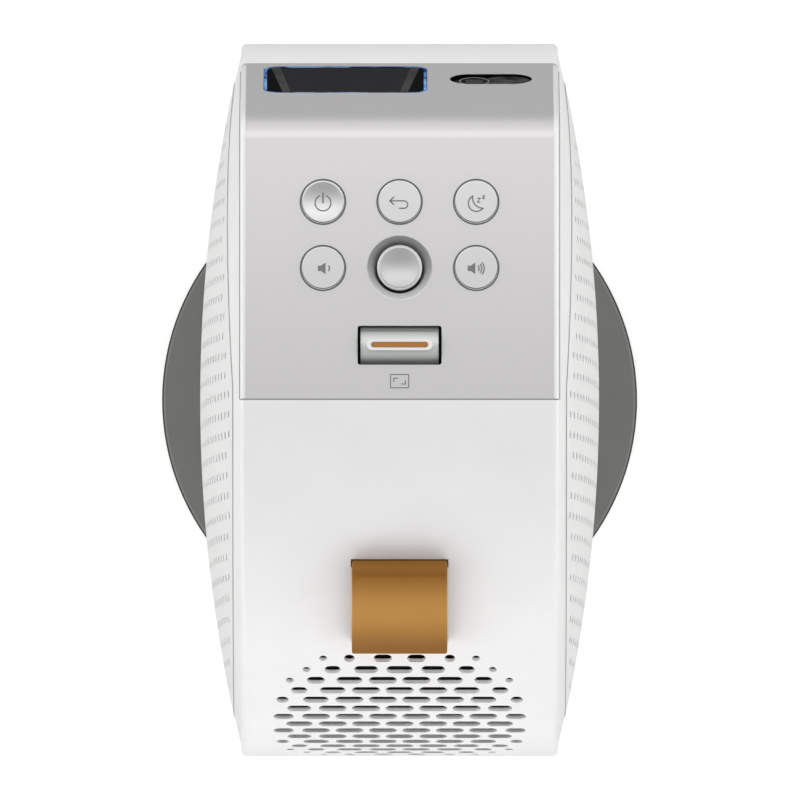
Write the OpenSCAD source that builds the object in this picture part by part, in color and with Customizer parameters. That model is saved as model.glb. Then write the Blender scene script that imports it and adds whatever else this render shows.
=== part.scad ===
// Portable projector: a white drum lying on its side, tilting in a saddle on a round base.
// The lens faces -Y, +Z is up, and the origin is the centre of the base where it stands.
// Drum outlines are drawn in (u, w): u forward and w up from the tilt axis.

/* [Drum] */
// Radius of the drum
drum_r = 107; // [104:0.5:108]
// Half the width of the rolled band between the domed sides
band_half = 47.5; // [47:0.1:48.5]
// Half the width across the two domed sides
dome_half = 59.7; // [58.5:0.1:61]
// Spherical radius of the domed sides
dome_r = 451; // [430:1:480]
// Wall of the band and of the sides
wall = 2.2; // [2:0.1:2.6]
// Radius on the two edges of the band and of the control panel
edge_r = 1.6; // [1:0.1:1.8]

/* [Front] */
// Downward slope of the control panel towards the front
top_slope = 6.2; // [4:0.1:8]
// Slope of the lens face from the horizontal
face_slope = 75; // [72:0.5:78]
// Angle from the top, forward, at which the lens face meets the round band
lip_angle = 70.5; // [68:0.5:71]
// Outside radius of the bend between the control panel and the lens face
bend_r = 9; // [7:0.5:11]
// Thickness of the bent panel
panel_t = 2; // [1.6:0.1:2.2]

/* [Base] */
// Radius of the base disc
base_r = 72.1; // [71:0.1:74]
// Height of the flat top of the base disc
base_top = 10.7; // [10.5:0.1:11.5]
// Height of the lowest point of the drum
drum_lift = 11.9; // [11.8:0.1:12.6]

/* [Controls] */
// Distance between neighbouring columns of keys
key_pitch = 22.8; // [21:0.1:24]
// Radius of a key
key_r = 6.5; // [6:0.1:6.8]
// Height of a key over the panel
key_rise = 0.5; // [0.2:0.1:1]
// Radius of the joystick's knob
knob_r = 6.7; // [6.4:0.1:6.8]

/* [Rear vent] */
// Rows of slots
vent_rows = 15; // [11:2:15]
// Angle of the first row behind the top
vent_start = 46.1; // [46:0.1:47]
// Angle between two rows
vent_step = 2.68; // [2.5:0.01:2.7]
// Distance between two slots of a row
vent_pitch = 10; // [9.5:0.1:10.5]
// Longest slot
slot_length = 8.4; // [7:0.1:8.6]
// Width of a slot
slot_width = 3.3; // [2.6:0.1:3.4]

/* [Hidden] */
$fn = 96;

ball_fn = 256;
far = 400;
gap = 0.15;
seam = 0.4;
// A bend runs on into the flats beside it by this many degrees, a little inside their surfaces
lap = 3;
inside = 0.03;
axle_z = drum_lift + drum_r;

// Corner of the bent front: the centre of the bend, measured from the tilt axis
top_d = drum_r * cos(top_slope) - bend_r;
face_d = drum_r * cos(face_slope - lip_angle) - bend_r;
bend_c = [
  (face_d * cos(top_slope) - top_d * cos(face_slope)) / sin(face_slope - top_slope),
  (top_d * sin(face_slope) - face_d * sin(top_slope)) / sin(face_slope - top_slope)
];
lip = drum_r * unit(lip_angle);
top_run = bend_c[0] * cos(top_slope) - (bend_c[1] - drum_r) * sin(top_slope);
face_run = (lip[0] - bend_c[0]) * cos(face_slope) + (bend_c[1] - lip[1]) * sin(face_slope);

// Side covers: a round rim, flattened towards the bent front by a larger circle
cover_r = 95.3;
flat_r = 151.7;
flat_back = 64.8;
flat_dir = 40;
side_open_r = 86;
ring_r = 103.9;
side_in = band_half - wall - 0.2;
cover_proud = 0.2;
cover_t = 2;

// Window and sensor on the lens face: across, up the face from the lip, and size
window_at = [16.2, 19.5];
window_size = [48.6, 31.4];
window_corner = 4;
lip_corner = 2.5;
sensor_at = [-27.3, 18.95];
sensor_size = [24.6, 12];
camera_at = [-22.3, 18.95];
lens_w = 54.5;
lens_x = window_at[0];

// Controls: distance forward of the panel's rear seam, along the panel
row_near = 39.5;
row_far = 59.3;
rocker_at = 16.4;
rocker_size = [25, 11.7];
rocker_r = 7;
rocker_depth = 6.2;
board_depth = 7.5;
stick_pivot = 5;

// Strap: angles behind the top where its two ends turn inwards
strap_w = 28.5;
strap_t = 2.2;
strap_r = 114;
strap_from = 27.8;
strap_to = 41;
strap_bend = 2.5;
strap_root = 100.5;

deck_w = 6;
deck_t = 3;
frame_in = 43.2;
driver_at = [0, -44];
tweeter_at = [12, 52];
port_angle = 104;

// Directions and places ------------------------------------------------------------------

// Unit vector in (u, w) at an angle from the top towards the front
function unit(a) = [sin(a), cos(a)];

// Draws in (u, w) and runs from x0 to x1 across the drum
module across(x0, x1) {
  translate([x1, 0, 0]) rotate([90, 0, -90]) linear_extrude(x1 - x0) children();
}

// Turns a section drawn in (radius, x) about an axis along X, from a0 to a1 towards the front
module turned(c, a0, a1) {
  translate([0, -c[0], c[1]]) rotate([180, -90, 0]) rotate([0, 0, a0])
    rotate_extrude(angle = a1 - a0) children();
}

// Runs a section drawn in (normal, x) along local Y
module along_y(length) {
  rotate([0, -90, -90]) linear_extrude(length) children();
}

// Local frames: X across, Z out of the surface
module on_top(x, s) {
  translate([0, 0, drum_r]) rotate([top_slope, 0, 0]) translate([x, -s, 0]) children();
}

module on_face(x, s) {
  translate([0, -lip[0], lip[1]]) rotate([face_slope, 0, 0]) translate([x, s, 0]) children();
}

module on_rear(a, x) {
  rotate([-a, 0, 0]) translate([x, 0, 0]) children();
}

module in_drum() {
  translate([0, 0, axle_z]) children();
}

module both_sides() {
  children();
  mirror([1, 0, 0]) children();
}

// Plane shapes ---------------------------------------------------------------------------

module rounded_rect(w, h, r) {
  square([w, h - 2 * r], center = true);
  square([w - 2 * r, h], center = true);
  for (sx = [-1, 1], sy = [-1, 1]) translate([sx * (w / 2 - r), sy * (h / 2 - r)]) circle(r = r);
}

module stadium(w, h) {
  square([w - h, h], center = true);
  for (s = [-1, 1]) translate([s * (w - h) / 2, 0]) circle(d = h);
}

module ring(r_out, r_in) {
  difference() {
    circle(r = r_out);
    circle(r = r_in);
  }
}

// The part of the side view that the bent panel covers, widened by k at both ends
module front_wedge(k = 0) {
  polygon([[-k, 0], [-k, 2 * drum_r], [2 * drum_r, 2 * drum_r], 2 * drum_r * unit(lip_angle + k)]);
}

// Side view of the bent front, drawn for a nominal radius r, with its ends inside the round part
module front_profile(r) {
  k = r / drum_r;
  polygon([
    [-r / 3, -r / 3], [-r / 3, r / 2], [-2, 0.998 * r], [0, r], k * (bend_c + bend_r * unit(top_slope)),
    k * (bend_c + bend_r * unit(face_slope)), k * lip, 0.998 * r * unit(lip_angle + 2), [r / 2, -r / 3]
  ]);
  translate(k * bend_c) circle(r = k * bend_r);
}

module cover_outline(inset) {
  intersection() {
    circle(r = cover_r - inset);
    translate(-flat_back * unit(flat_dir)) circle(r = flat_r - inset);
  }
}

// Section of a sheet as wide as the band, with rounded outer edges, in (normal, x)
module sheet_section(t, inset = 0) {
  h = band_half - inset;
  r = edge_r - inset;
  intersection() {
    translate([inset - t, -h]) square([t, 2 * h]);
    union() {
      translate([inset - t, -h]) square([t - inset - edge_r, 2 * h]);
      translate([inset - t, r - h]) square([t - 2 * inset, 2 * (h - r)]);
      for (s = [-1, 1]) translate([-edge_r, s * (h - r)]) circle(r = r);
    }
  }
}

module dome_ball(raise) {
  translate([dome_half - dome_r, 0, 0]) rotate([0, 0, 180]) sphere(r = dome_r + raise, $fn = ball_fn);
}

// Half a section through a domed side, in (radius, x)
module dome_section(raise) {
  intersection() {
    translate([0, dome_half - dome_r]) circle(r = dome_r + raise, $fn = ball_fn);
    translate([0, side_in]) square([ring_r, 20]);
  }
}

// Base -----------------------------------------------------------------------------------

foot_in = 58.5;
foot_out = 69;
foot_h = 2.2;
floor_z = 1.2;
cradle_r = 56;
cradle_z = 3.2;
scoop_r = 115;
scoop_half = 20;
saddle_r = 108.1;
rail_in = 26;
rail_out = 46;
rail_half = 51;
pad_in = 28;
pad_out = 44;
pad_half = 48;
magnet_x = 38.5;
magnet_angle = 17;
magnet_r = 5;
magnet_h = 3;
screw_at = [42, 24];

module base_disc() {
  bevel = 1;
  color("dimgray") difference() {
    rotate_extrude() polygon([
      [0, floor_z], [base_r - 1.2, floor_z], [base_r, floor_z + 1.4], [base_r, base_top - bevel * 0.8],
      [base_r - bevel, base_top], [0, base_top]
    ]);
    translate([0, 0, cradle_z]) cylinder(r = cradle_r + gap, h = far);
    rotate_extrude() translate([foot_in - gap, 0]) square([foot_out - foot_in + 2 * gap, foot_h]);
    rotate_extrude() translate([foot_in + 1, 0]) square([foot_out - foot_in - 2, 7.2]);
    at_base_screws() {
      cylinder(r = 1.7, h = far);
      translate([0, 0, floor_z - 0.1]) cylinder(r1 = 3.1, r2 = 1.7, h = 1.5);
    }
  }
}

module at_base_screws() {
  for (sx = [-1, 1], sy = [-1, 1]) translate([sx * screw_at[0], sy * screw_at[1], 0]) children();
}

module ballast_ring() {
  color("silver") rotate_extrude() translate([foot_in + 1.1, foot_h]) square([foot_out - foot_in - 2.2, 4.9]);
}

module foot_ring() {
  color("#222222") rotate_extrude() {
    translate([foot_in, 0.6]) square([foot_out - foot_in, foot_h - 0.6]);
    polygon([[foot_in + 0.6, 0], [foot_out - 0.6, 0], [foot_out, 0.6], [foot_in, 0.6]]);
  }
}

// Saddle plate with two rails that follow the drum, and a scoop where the strap passes
module cradle() {
  color("dimgray") difference() {
    union() {
      translate([0, 0, cradle_z]) cylinder(r = cradle_r, h = base_top + 0.5 - cradle_z);
      both_sides() across(rail_in, rail_out) polygon([
        [-rail_half - 4, base_top], [rail_half + 4, base_top], [rail_half, 24.5], [-rail_half, 24.5]
      ]);
    }
    in_drum() {
      across(-far, far) circle(r = saddle_r);
      across(-scoop_half, scoop_half) circle(r = scoop_r);
    }
    at_magnets(saddle_r + magnet_h + 0.2) cylinder(r = magnet_r + 0.1, h = far);
    at_base_screws() translate([0, 0, cradle_z - 1]) cylinder(r = 1.3, h = 7);
  }
}

module at_magnets(r) {
  for (sx = [-1, 1], sa = [-1, 1]) in_drum()
    rotate([sa * magnet_angle, 0, 0]) translate([sx * magnet_x, 0, -r]) children();
}

module cradle_magnets() {
  color("silver") at_magnets(saddle_r + magnet_h + 0.1) cylinder(r = magnet_r, h = magnet_h);
}

module cradle_pad() {
  reach = asin(pad_half / saddle_r);
  color("#333333") in_drum() turned([0, 0], 180 - reach, 180 + reach)
    translate([drum_r + 0.3, pad_in]) square([saddle_r - drum_r - 0.3, pad_out - pad_in]);
}

module cradle_pad_left() {
  cradle_pad();
}

module cradle_pad_right() {
  mirror([1, 0, 0]) cradle_pad();
}

module base_screws() {
  color("silver") at_base_screws() difference() {
    union() {
      translate([0, 0, floor_z + 0.1]) cylinder(r1 = 2.8, r2 = 1.4, h = 1.4);
      translate([0, 0, floor_z + 0.1]) cylinder(r = 1.25, h = 7);
    }
    cylinder(r = 1.2, h = floor_z + 0.9, $fn = 6);
  }
}

// Drum casing ----------------------------------------------------------------------------

// Slot length by row and distance from the middle: full in the middle, shrinking to the edge of the patch
function vent_edge(k) = min(24 + 5 * min(k, vent_rows - 1 - k), 37.7);
function slot_at(k, x) = let (
  near = min(k, vent_rows - 1 - k),
  slant = max(0, 1 - (24 + 5 * near - x) / 28.3),
  side = max(0, 1 - (37.7 - x) / 14),
  rim = max(0, 1 - near / 2)
) max(2.4, slot_length - 6.5 * pow(slant, 2) - 2.5 * pow(side, 2) - 2.2 * pow(rim, 2));

module vent_slots() {
  for (k = [0:vent_rows - 1]) on_rear(vent_start + vent_step * k, 0)
    translate([0, 0, drum_r - 8]) linear_extrude(12) vent_row(k);
}

module vent_row(k) {
  first = k % 2 == 0 ? vent_pitch / 2 : 0;
  for (x = [first:vent_pitch:vent_edge(k) + 1.2]) {
    length = round(10 * slot_at(k, min(x, vent_edge(k)))) / 10;
    at = min(x, round(10 * (vent_edge(k) - length / 2)) / 10);
    for (s = x == 0 ? [1] : [-1, 1]) translate([s * at, 0])
      if (length > slot_width + 0.3) stadium(length, slot_width);
      else circle(d = length);
  }
}

module strap_slots(extra) {
  for (a = [strap_from, strap_to]) on_rear(a, 0)
    translate([0, (a == strap_from ? -1 : 1) * (strap_bend - strap_t / 2), drum_r - 1])
      cube([strap_w + 2 * extra, strap_t + 2 * extra, 12], center = true);
}

module drum_shell() {
  color("whitesmoke") in_drum() {
    difference() {
      turned([0, 0], lip_angle, 360) translate([drum_r, 0]) sheet_section(wall);
      vent_slots();
      vent_pocket();
      strap_slots(0.3);
      on_rear(port_angle, 0) translate([0, 0, drum_r]) cube([port_w + 2 * gap, port_h + 2 * gap, 12], center = true);
    }
    both_sides() shell_side();
    for (s = [-1, 1]) translate([-34, s * 26 - 1.5, 4.6 - drum_r]) cube([68, 3, 4.9]);
  }
}

// Side wall and domed ring in one, with the opening, and a pocket whose floor the cover rests on
module shell_side() {
  difference() {
    union() {
      across(side_in, band_half) {
        difference() {
          circle(r = drum_r - wall + 0.4);
          front_wedge(0.5);
        }
        front_profile(drum_r - wall - 0.2);
      }
      turned([0, 0], 0, 360) difference() {
        dome_section(0);
        square([side_open_r - 3, far]);
      }
    }
    across(0, far) circle(r = side_open_r);
    difference() {
      across(side_in + 1, dome_half + 5) cover_outline(-gap);
      turned([0, 0], 0, 360) dome_section(cover_proud - cover_t);
    }
  }
}

// Behind the slots the wall is thinner
module vent_pocket() {
  turned([0, 0], 360 - vent_start - vent_step * (vent_rows - 1) - 2, 360 - vent_start + 2)
    translate([drum_r - 8, -40]) square([8 - 1.4, 80]);
}

// One sheet bent over the front: flat top, bend, flat lens face
module control_panel() {
  color("silver") in_drum() difference() {
    union() {
      on_top(0, top_run) along_y(top_run - seam) sheet_section(panel_t);
      turned(bend_c, top_slope - lap, face_slope + lap) translate([bend_r, 0])
        sheet_section(panel_t, inside);
      on_face(0, gap) along_y(face_run - gap) sheet_section(panel_t);
      on_top(0, row_near) translate([0, 0, -2.6]) cylinder(r = 11, h = 1);
    }
    for (key = key_places()) on_top(key[0], key[1]) translate([0, 0, -5]) cylinder(r = key_r + 0.45, h = 10);
    on_top(0, row_near) {
      translate([0, 0, -5]) cylinder(r = knob_r + 0.45, h = 10);
      translate([0, 0, -2.6]) cylinder(r1 = knob_r + 0.45, r2 = 9.5, h = 2.6);
      cylinder(r = 9.5, h = 5);
    }
    on_top(0, rocker_at) translate([0, 0, -5]) linear_extrude(10)
      rounded_rect(rocker_size[0], rocker_size[1], 0.8);
    on_face(window_at[0], window_at[1]) translate([0, 0, -5]) linear_extrude(10)
      rounded_rect(window_size[0] + 2 * gap, window_size[1] + 2 * gap, window_corner + gap);
    on_face(sensor_at[0], sensor_at[1]) translate([0, 0, -5]) linear_extrude(10)
      stadium(sensor_size[0], sensor_size[1]);
    on_face(0, gap) for (s = [-1, 1]) translate([s * (band_half - lip_corner + 0.06), lip_corner, -5])
      linear_extrude(10) difference() {
        translate([s * lip_corner, -lip_corner]) square(2 * lip_corner, center = true);
        circle(r = lip_corner);
      }
  }
}

module side_cover() {
  color("white") in_drum() intersection() {
    across(side_in, dome_half + 1) cover_outline(0);
    difference() {
      dome_ball(cover_proud);
      dome_ball(cover_proud - cover_t);
    }
  }
}

module side_cover_left() {
  side_cover();
}

module side_cover_right() {
  mirror([1, 0, 0]) side_cover();
}

// Baffle behind each cover, with the openings for its two drivers
module speaker_frame(driver_r) {
  color("dimgray") in_drum() across(frame_in, side_in) difference() {
    circle(r = 95);
    translate(driver_at) circle(r = driver_r - 3);
    translate(tweeter_at) circle(r = 11);
    for (i = [0:5]) translate(60 * unit(60 * i + 90)) if (i != 1 && i != 5) circle(r = 9);
  }
}

module speaker_frame_left() {
  speaker_frame(30);
}

module speaker_frame_right() {
  mirror([1, 0, 0]) speaker_frame(30);
}

module keeper_band() {
  color("silver") in_drum() turned([0, 0], 157, 338)
    translate([drum_r - wall - 0.8, 38.4]) square([0.8, side_in - 38.5]);
}

module keeper_band_left() {
  keeper_band();
}

module keeper_band_right() {
  mirror([1, 0, 0]) keeper_band();
}

// Deck that carries the optics above and the main board below
module chassis_tray() {
  color("lightgray") in_drum() {
    difference() {
      translate([-frame_in, -92, deck_w - deck_t]) cube([2 * frame_in, 184, deck_t]);
      for (sx = [-1, 1], sy = [-1, 0, 1]) translate([sx * 36, sy * 70, 0]) cylinder(r = 6, h = far, center = true);
    }
    for (sx = [-1, 1], sy = [-1, 1]) translate([sx * 34, sy * 52, -6]) cylinder(r = 2.6, h = 6 + deck_w - deck_t);
  }
}

// Optics ---------------------------------------------------------------------------------

barrel_r = 17;
barrel_in = 14.5;
barrel_from = 46;
barrel_to = 83;
focus_u = 58;

module at_lens(u) {
  in_drum() translate([lens_x, -u, lens_w]) rotate([90, 0, 0]) children();
}

module lens_window() {
  color("#22262c") in_drum() on_face(window_at[0], window_at[1]) translate([0, 0, -panel_t])
    linear_extrude(panel_t - 0.2) rounded_rect(window_size[0], window_size[1], window_corner);
}

module lens_bezel() {
  color("#151515") in_drum() on_face(window_at[0], window_at[1]) translate([0, 0, -panel_t - 1.4])
    linear_extrude(1.4) difference() {
      rounded_rect(window_size[0] + 4, window_size[1] + 3, window_corner + 1);
      rounded_rect(window_size[0] - 5, window_size[1] - 4, window_corner - 1);
    }
}

module lens_barrel() {
  color("#1c1c1c") at_lens(barrel_from) difference() {
    union() {
      cylinder(r = barrel_r, h = barrel_to - barrel_from);
      cylinder(r = barrel_r + 2.5, h = 4);
    }
    translate([0, 0, -1]) cylinder(r = barrel_in, h = far);
  }
}

// A lens with two spherical faces
module lens(r, bulge, rim) {
  ball = (r * r + bulge * bulge) / (2 * bulge);
  intersection() {
    translate([0, 0, -rim / 2 - bulge]) cylinder(r = r, h = rim + 2 * bulge);
    translate([0, 0, rim / 2 + bulge - ball]) sphere(r = ball);
    translate([0, 0, ball - rim / 2 - bulge]) sphere(r = ball);
  }
}

module front_element() {
  color("lightblue") at_lens(barrel_to - 6) lens(barrel_in - 0.05, 2.6, 3);
}

module focus_cell() {
  color("gold") at_lens(focus_u - 5) difference() {
    cylinder(r = barrel_in - 0.05, h = 10);
    translate([0, 0, -1]) cylinder(r = 11, h = far);
  }
}

module focus_element() {
  color("lightblue") at_lens(focus_u) lens(11, 2, 3);
}

module light_engine() {
  color("#3a3d40") in_drum() {
    translate([-12, -barrel_from, deck_w]) cube([44.5, barrel_from + 45, 60]);
    translate([-12, -barrel_from + 12, deck_w + 60]) cube([36, 40, 8]);
    for (i = [0:8]) translate([-12, 8 + 4 * i, deck_w + 60]) cube([40, 1.6, 6]);
  }
}

module sensor_window() {
  color("#2b2b2b") in_drum() on_face(sensor_at[0], sensor_at[1]) translate([0, 0, -1.6])
    linear_extrude(0.8) stadium(sensor_size[0] - 0.1, sensor_size[1] - 0.1);
}

// Cup behind the window, with holes for the camera and the range sensor
module sensor_housing() {
  depth = 6;
  color("#1a1a1a") in_drum() difference() {
    on_face(sensor_at[0], sensor_at[1]) translate([0, 0, -panel_t - depth])
      linear_extrude(depth) stadium(sensor_size[0] + 3, sensor_size[1] + 3);
    on_face(sensor_at[0], sensor_at[1]) translate([0, 0, -panel_t - depth + 1.5])
      linear_extrude(depth) stadium(sensor_size[0], sensor_size[1]);
    on_face(camera_at[0], camera_at[1]) translate([0, 0, -panel_t - depth - 1]) cylinder(r = 4.7, h = 5);
    on_face(camera_at[0] - 10, camera_at[1]) translate([0, 0, -panel_t - depth - 1])
      linear_extrude(5) square([6.2, 4.2], center = true);
  }
}

module camera_module() {
  color("#303030") in_drum() on_face(camera_at[0], camera_at[1]) translate([0, 0, -panel_t - 8]) {
    difference() {
      cylinder(r = 4.6, h = 7.6);
      translate([0, 0, 6.4]) cylinder(r1 = 2.4, r2 = 3.6, h = 2);
    }
    translate([0, 0, 5.2]) lens(2.4, 0.6, 1.4);
  }
}

module range_sensor() {
  color("#3c2f45") in_drum() on_face(camera_at[0] - 10, camera_at[1]) translate([0, 0, -panel_t - 7.5])
    linear_extrude(3.4) square([6, 4], center = true);
}

// Controls -------------------------------------------------------------------------------

function key_places() = [
  [key_pitch, row_far], [0, row_far], [-key_pitch, row_far], [key_pitch, row_near], [-key_pitch, row_near]
];

// Cap, retaining flange and plunger, turned from one outline; a dish hollows the cap
module key_at(i, dish) {
  r = key_r;
  round_r = 0.4;
  color("silver") in_drum() on_top(key_places()[i][0], key_places()[i][1]) difference() {
    rotate_extrude() {
      translate([0, -2.2]) square([r, 2.2 + key_rise - round_r]);
      square([r - round_r, key_rise]);
      translate([r - round_r, key_rise - round_r]) circle(r = round_r);
      translate([0, -3]) square([r + 1.1, 0.8]);
      translate([0, -4.6]) square([1.5, 1.7]);
    }
    if (dish > 0) let (ball = (pow(r - 0.6, 2) + dish * dish) / (2 * dish))
      translate([0, 0, key_rise - dish + ball]) sphere(r = ball);
  }
}

module power_key() {
  key_at(0, 0.9);
}

module back_key() {
  key_at(1, 0);
}

module sleep_key() {
  key_at(2, 0);
}

module volume_down_key() {
  key_at(3, 0);
}

module volume_up_key() {
  key_at(4, 0);
}

module at_stick() {
  in_drum() on_top(0, row_near) children();
}

// Dished cap with a bored boss that slides on the stick
module joystick_knob() {
  rise = 2.4;
  round_r = 0.8;
  dish = 1.1;
  ball = (pow(knob_r - 0.9, 2) + dish * dish) / (2 * dish);
  color("gainsboro") at_stick() difference() {
    union() {
      rotate_extrude() {
        translate([0, -0.6]) square([knob_r, 0.6 + rise - round_r]);
        square([knob_r - round_r, rise]);
        translate([knob_r - round_r, rise - round_r]) circle(r = round_r);
      }
      translate([0, 0, -3]) cylinder(r = 3, h = 3);
    }
    translate([0, 0, rise - dish + ball]) sphere(r = ball);
    translate([0, 0, -4]) cylinder(r = 1.65, h = 4);
  }
}

module joystick_stick() {
  color("silver") at_stick() {
    translate([0, 0, -stick_pivot - 1.4]) cylinder(r = 1.6, h = stick_pivot + 0.7);
    translate([0, 0, -stick_pivot]) rotate([90, 0, 0]) cylinder(r = 0.6, h = 8.4, center = true);
  }
}

module joystick_gimbal() {
  color("gold") at_stick() translate([0, 0, -stick_pivot]) difference() {
    union() {
      translate([0, 0, -1]) cylinder(r = 4.6, h = 2);
      rotate([0, 90, 0]) cylinder(r = 0.6, h = 12.6, center = true);
    }
    cylinder(r = 3.3, h = 5, center = true);
    rotate([90, 0, 0]) cylinder(r = 0.65, h = 20, center = true);
  }
}

module joystick_housing() {
  color("#404040") at_stick() difference() {
    translate([0, 0, -board_depth]) linear_extrude(board_depth - 3.6) square(14, center = true);
    translate([0, 0, 0.6 - board_depth]) linear_extrude(far) square(11.4, center = true);
    translate([0, 0, -stick_pivot]) rotate([0, 90, 0]) cylinder(r = 0.65, h = 12.8, center = true);
  }
}

module at_rocker() {
  in_drum() on_top(0, rocker_at) translate([0, 0, -rocker_depth]) children();
}

// Part of a roller on a cross pin, with a raised rib that holds the inlay
module zoom_rocker() {
  half = rocker_size[0] / 2 - 0.5;
  color("silver") at_rocker() difference() {
    union() {
      intersection() {
        rotate([0, 90, 0]) cylinder(r = rocker_r, h = 2 * half, center = true);
        translate([-far / 2, -far / 2, -1]) cube([far, far, 20]);
      }
      rotate([0, 90, 0]) cylinder(r = 1.2, h = 2 * half + 4.4, center = true);
      translate([0, 0, rocker_r - 1]) linear_extrude(1.8) stadium(19.7, 3.3);
    }
    translate([0, 0, rocker_r + 0.4]) linear_extrude(2) stadium(17, 1.7);
  }
}

module rocker_inlay() {
  color("peru") at_rocker() translate([0, 0, rocker_r + 0.4]) linear_extrude(0.5) stadium(16.8, 1.5);
}

module rocker_bracket() {
  ear = rocker_size[0] / 2 + 0.2;
  color("#404040") at_rocker() difference() {
    union() {
      for (s = [-1, 1]) translate([s * (ear + 0.8) - 0.8, -3, rocker_depth - board_depth]) cube([1.6, 6, 4]);
      for (s = [-1, 1]) translate([-ear - 1.6, s * 10 - 1, rocker_depth - board_depth]) cube([2 * ear + 3.2, 2, 1.2]);
      for (s = [-1, 1]) translate([s * (ear + 0.8) - 0.8, -11, rocker_depth - board_depth]) cube([1.6, 22, 1.2]);
    }
    rotate([0, 90, 0]) cylinder(r = 1.25, h = far, center = true);
  }
}

// Board below the panel: switches under the keys, a gap under the rocker, posts up to the panel
module key_board() {
  size = [82, 66];
  mid = 39;
  color("darkgreen") in_drum() {
    difference() {
      on_top(0, mid) translate([0, 0, -board_depth - 1.6]) linear_extrude(1.6) square(size, center = true);
      on_top(0, rocker_at) translate([0, 0, -far / 2]) linear_extrude(far) square([24.6, 17], center = true);
    }
    for (key = key_places()) on_top(key[0], key[1]) translate([0, 0, -board_depth]) {
      linear_extrude(1.4) square(6, center = true);
      cylinder(r = 1.7, h = 2);
    }
    for (sx = [-1, 1], s = [mid - 30, mid + 30]) on_top(sx * 38, s) translate([0, 0, -board_depth])
      cylinder(r = 2.4, h = board_depth - panel_t);
  }
}

// Strap ----------------------------------------------------------------------------------

// Leather band: an arc over the surface, turned in at both ends through slots in the shell
module strap() {
  centre = strap_r - strap_bend;
  color("peru") in_drum() across(-strap_w / 2, strap_w / 2) {
    intersection() {
      ring(strap_r, strap_r - strap_t);
      polygon([[0, 0], 2 * strap_r * unit(-strap_from), 2 * strap_r * unit(-strap_to)]);
    }
    for (end = [[-strap_from, 1], [-strap_to, -1]]) rotate(-end[0]) {
      translate([0, centre]) intersection() {
        ring(strap_bend + 0.01, strap_bend - strap_t - 0.01);
        translate([end[1] * (strap_bend - 0.1), strap_bend - 0.1]) square(2 * strap_bend, center = true);
      }
      translate([end[1] * (strap_bend - strap_t / 2), (strap_root + centre) / 2])
        square([strap_t, centre - strap_root], center = true);
    }
  }
}

// Bars inside the shell that grip the strap's ends
module strap_clamps() {
  color("silver") in_drum() for (end = [[strap_from, -1], [strap_to, 1]]) on_rear(end[0], 0) difference() {
    translate([-strap_w / 2 - 5, end[1] > 0 ? 0.3 - 3 : -0.3, strap_root]) cube([strap_w + 10, 3, 3.2]);
    for (s = [-1, 1]) translate([s * (strap_w / 2 + 2.6), end[1] * -1.2, strap_root - 1]) cylinder(r = 0.9, h = 8);
  }
}

// Cooling --------------------------------------------------------------------------------

fan_w = 36;
fan_u = -62;
fan_size = 60;
fan_t = 15;

// Local frame of the fan: Z along the air flow, to the rear
module at_fan(u) {
  in_drum() translate([0, -u, fan_w]) rotate([-90, 0, 0]) children();
}

module vent_duct() {
  front = -fan_u + fan_t;
  half = 38.6;
  color("#2a2a2a") in_drum() intersection() {
    across(-far, far) circle(r = drum_r - wall - 0.9);
    difference() {
      translate([-half, front, deck_w]) cube([2 * half, 40, 73]);
      translate([-half + 1.5, front + 2, deck_w + 1.5]) cube([2 * half - 3, 40, 70]);
      translate([0, front - 1, fan_w]) rotate([-90, 0, 0]) cylinder(r = 27.5, h = 5);
    }
  }
}

module fan_frame() {
  color("#202020") at_fan(fan_u) {
    difference() {
      translate([-fan_size / 2, -fan_size / 2, 0]) cube([fan_size, fan_size, fan_t]);
      translate([0, 0, 2]) cylinder(r = 28, h = fan_t);
      difference() {
        translate([0, 0, -1]) cylinder(r = 28, h = 4);
        for (i = [0:2]) rotate([0, 0, 120 * i + 30]) translate([-1.5, 0, -2]) cube([3, 30, 6]);
        translate([0, 0, -2]) cylinder(r = 12, h = 6);
      }
      for (sx = [-1, 1], sy = [-1, 1]) translate([sx * 26, sy * 26, -1]) cylinder(r = 1.6, h = far);
    }
    translate([0, 0, 1]) cylinder(r = 2, h = 10);
  }
}

// Hub and seven pitched blades
module fan_rotor() {
  color("#2e2e2e") at_fan(fan_u) {
    translate([0, 0, 2.6]) difference() {
      cylinder(r = 11.5, h = 11);
      translate([0, 0, -1]) cylinder(r = 2.05, h = 10);
    }
    intersection() {
      translate([0, 0, 3]) cylinder(r = 27, h = 10.4);
      for (i = [0:6]) rotate([0, 0, i * 360 / 7]) rotate([0, 35, 0]) translate([-10, 9, 0]) cube([30, 22, 1.2]);
    }
  }
}

module heat_sink() {
  color("lightgray") in_drum() translate([-29, 45, deck_w]) {
    cube([58, 3, 58]);
    for (i = [0:16]) translate([i * 3.56, 2.5, 0]) cube([1, 14.2, 58]);
  }
}

// Electronics and sound ------------------------------------------------------------------

module main_board() {
  color("darkgreen") in_drum() difference() {
    union() {
      translate([-38, -58, -7.6]) cube([76, 116, 1.6]);
      for (i = [-1:2]) translate([-16, 22 * i - 8, -10]) cube([15, 15, 2.6]);
      translate([4, -30, -10]) cube([10, 44, 2.6]);
    }
    for (sx = [-1, 1], sy = [-1, 1]) translate([sx * 34, sy * 52, -20]) cylinder(r = 1.3, h = far);
  }
}

module battery_pack() {
  color("steelblue") in_drum() translate([-33, -32, 9.5 - drum_r]) cube([66, 64, 19]);
}

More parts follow.
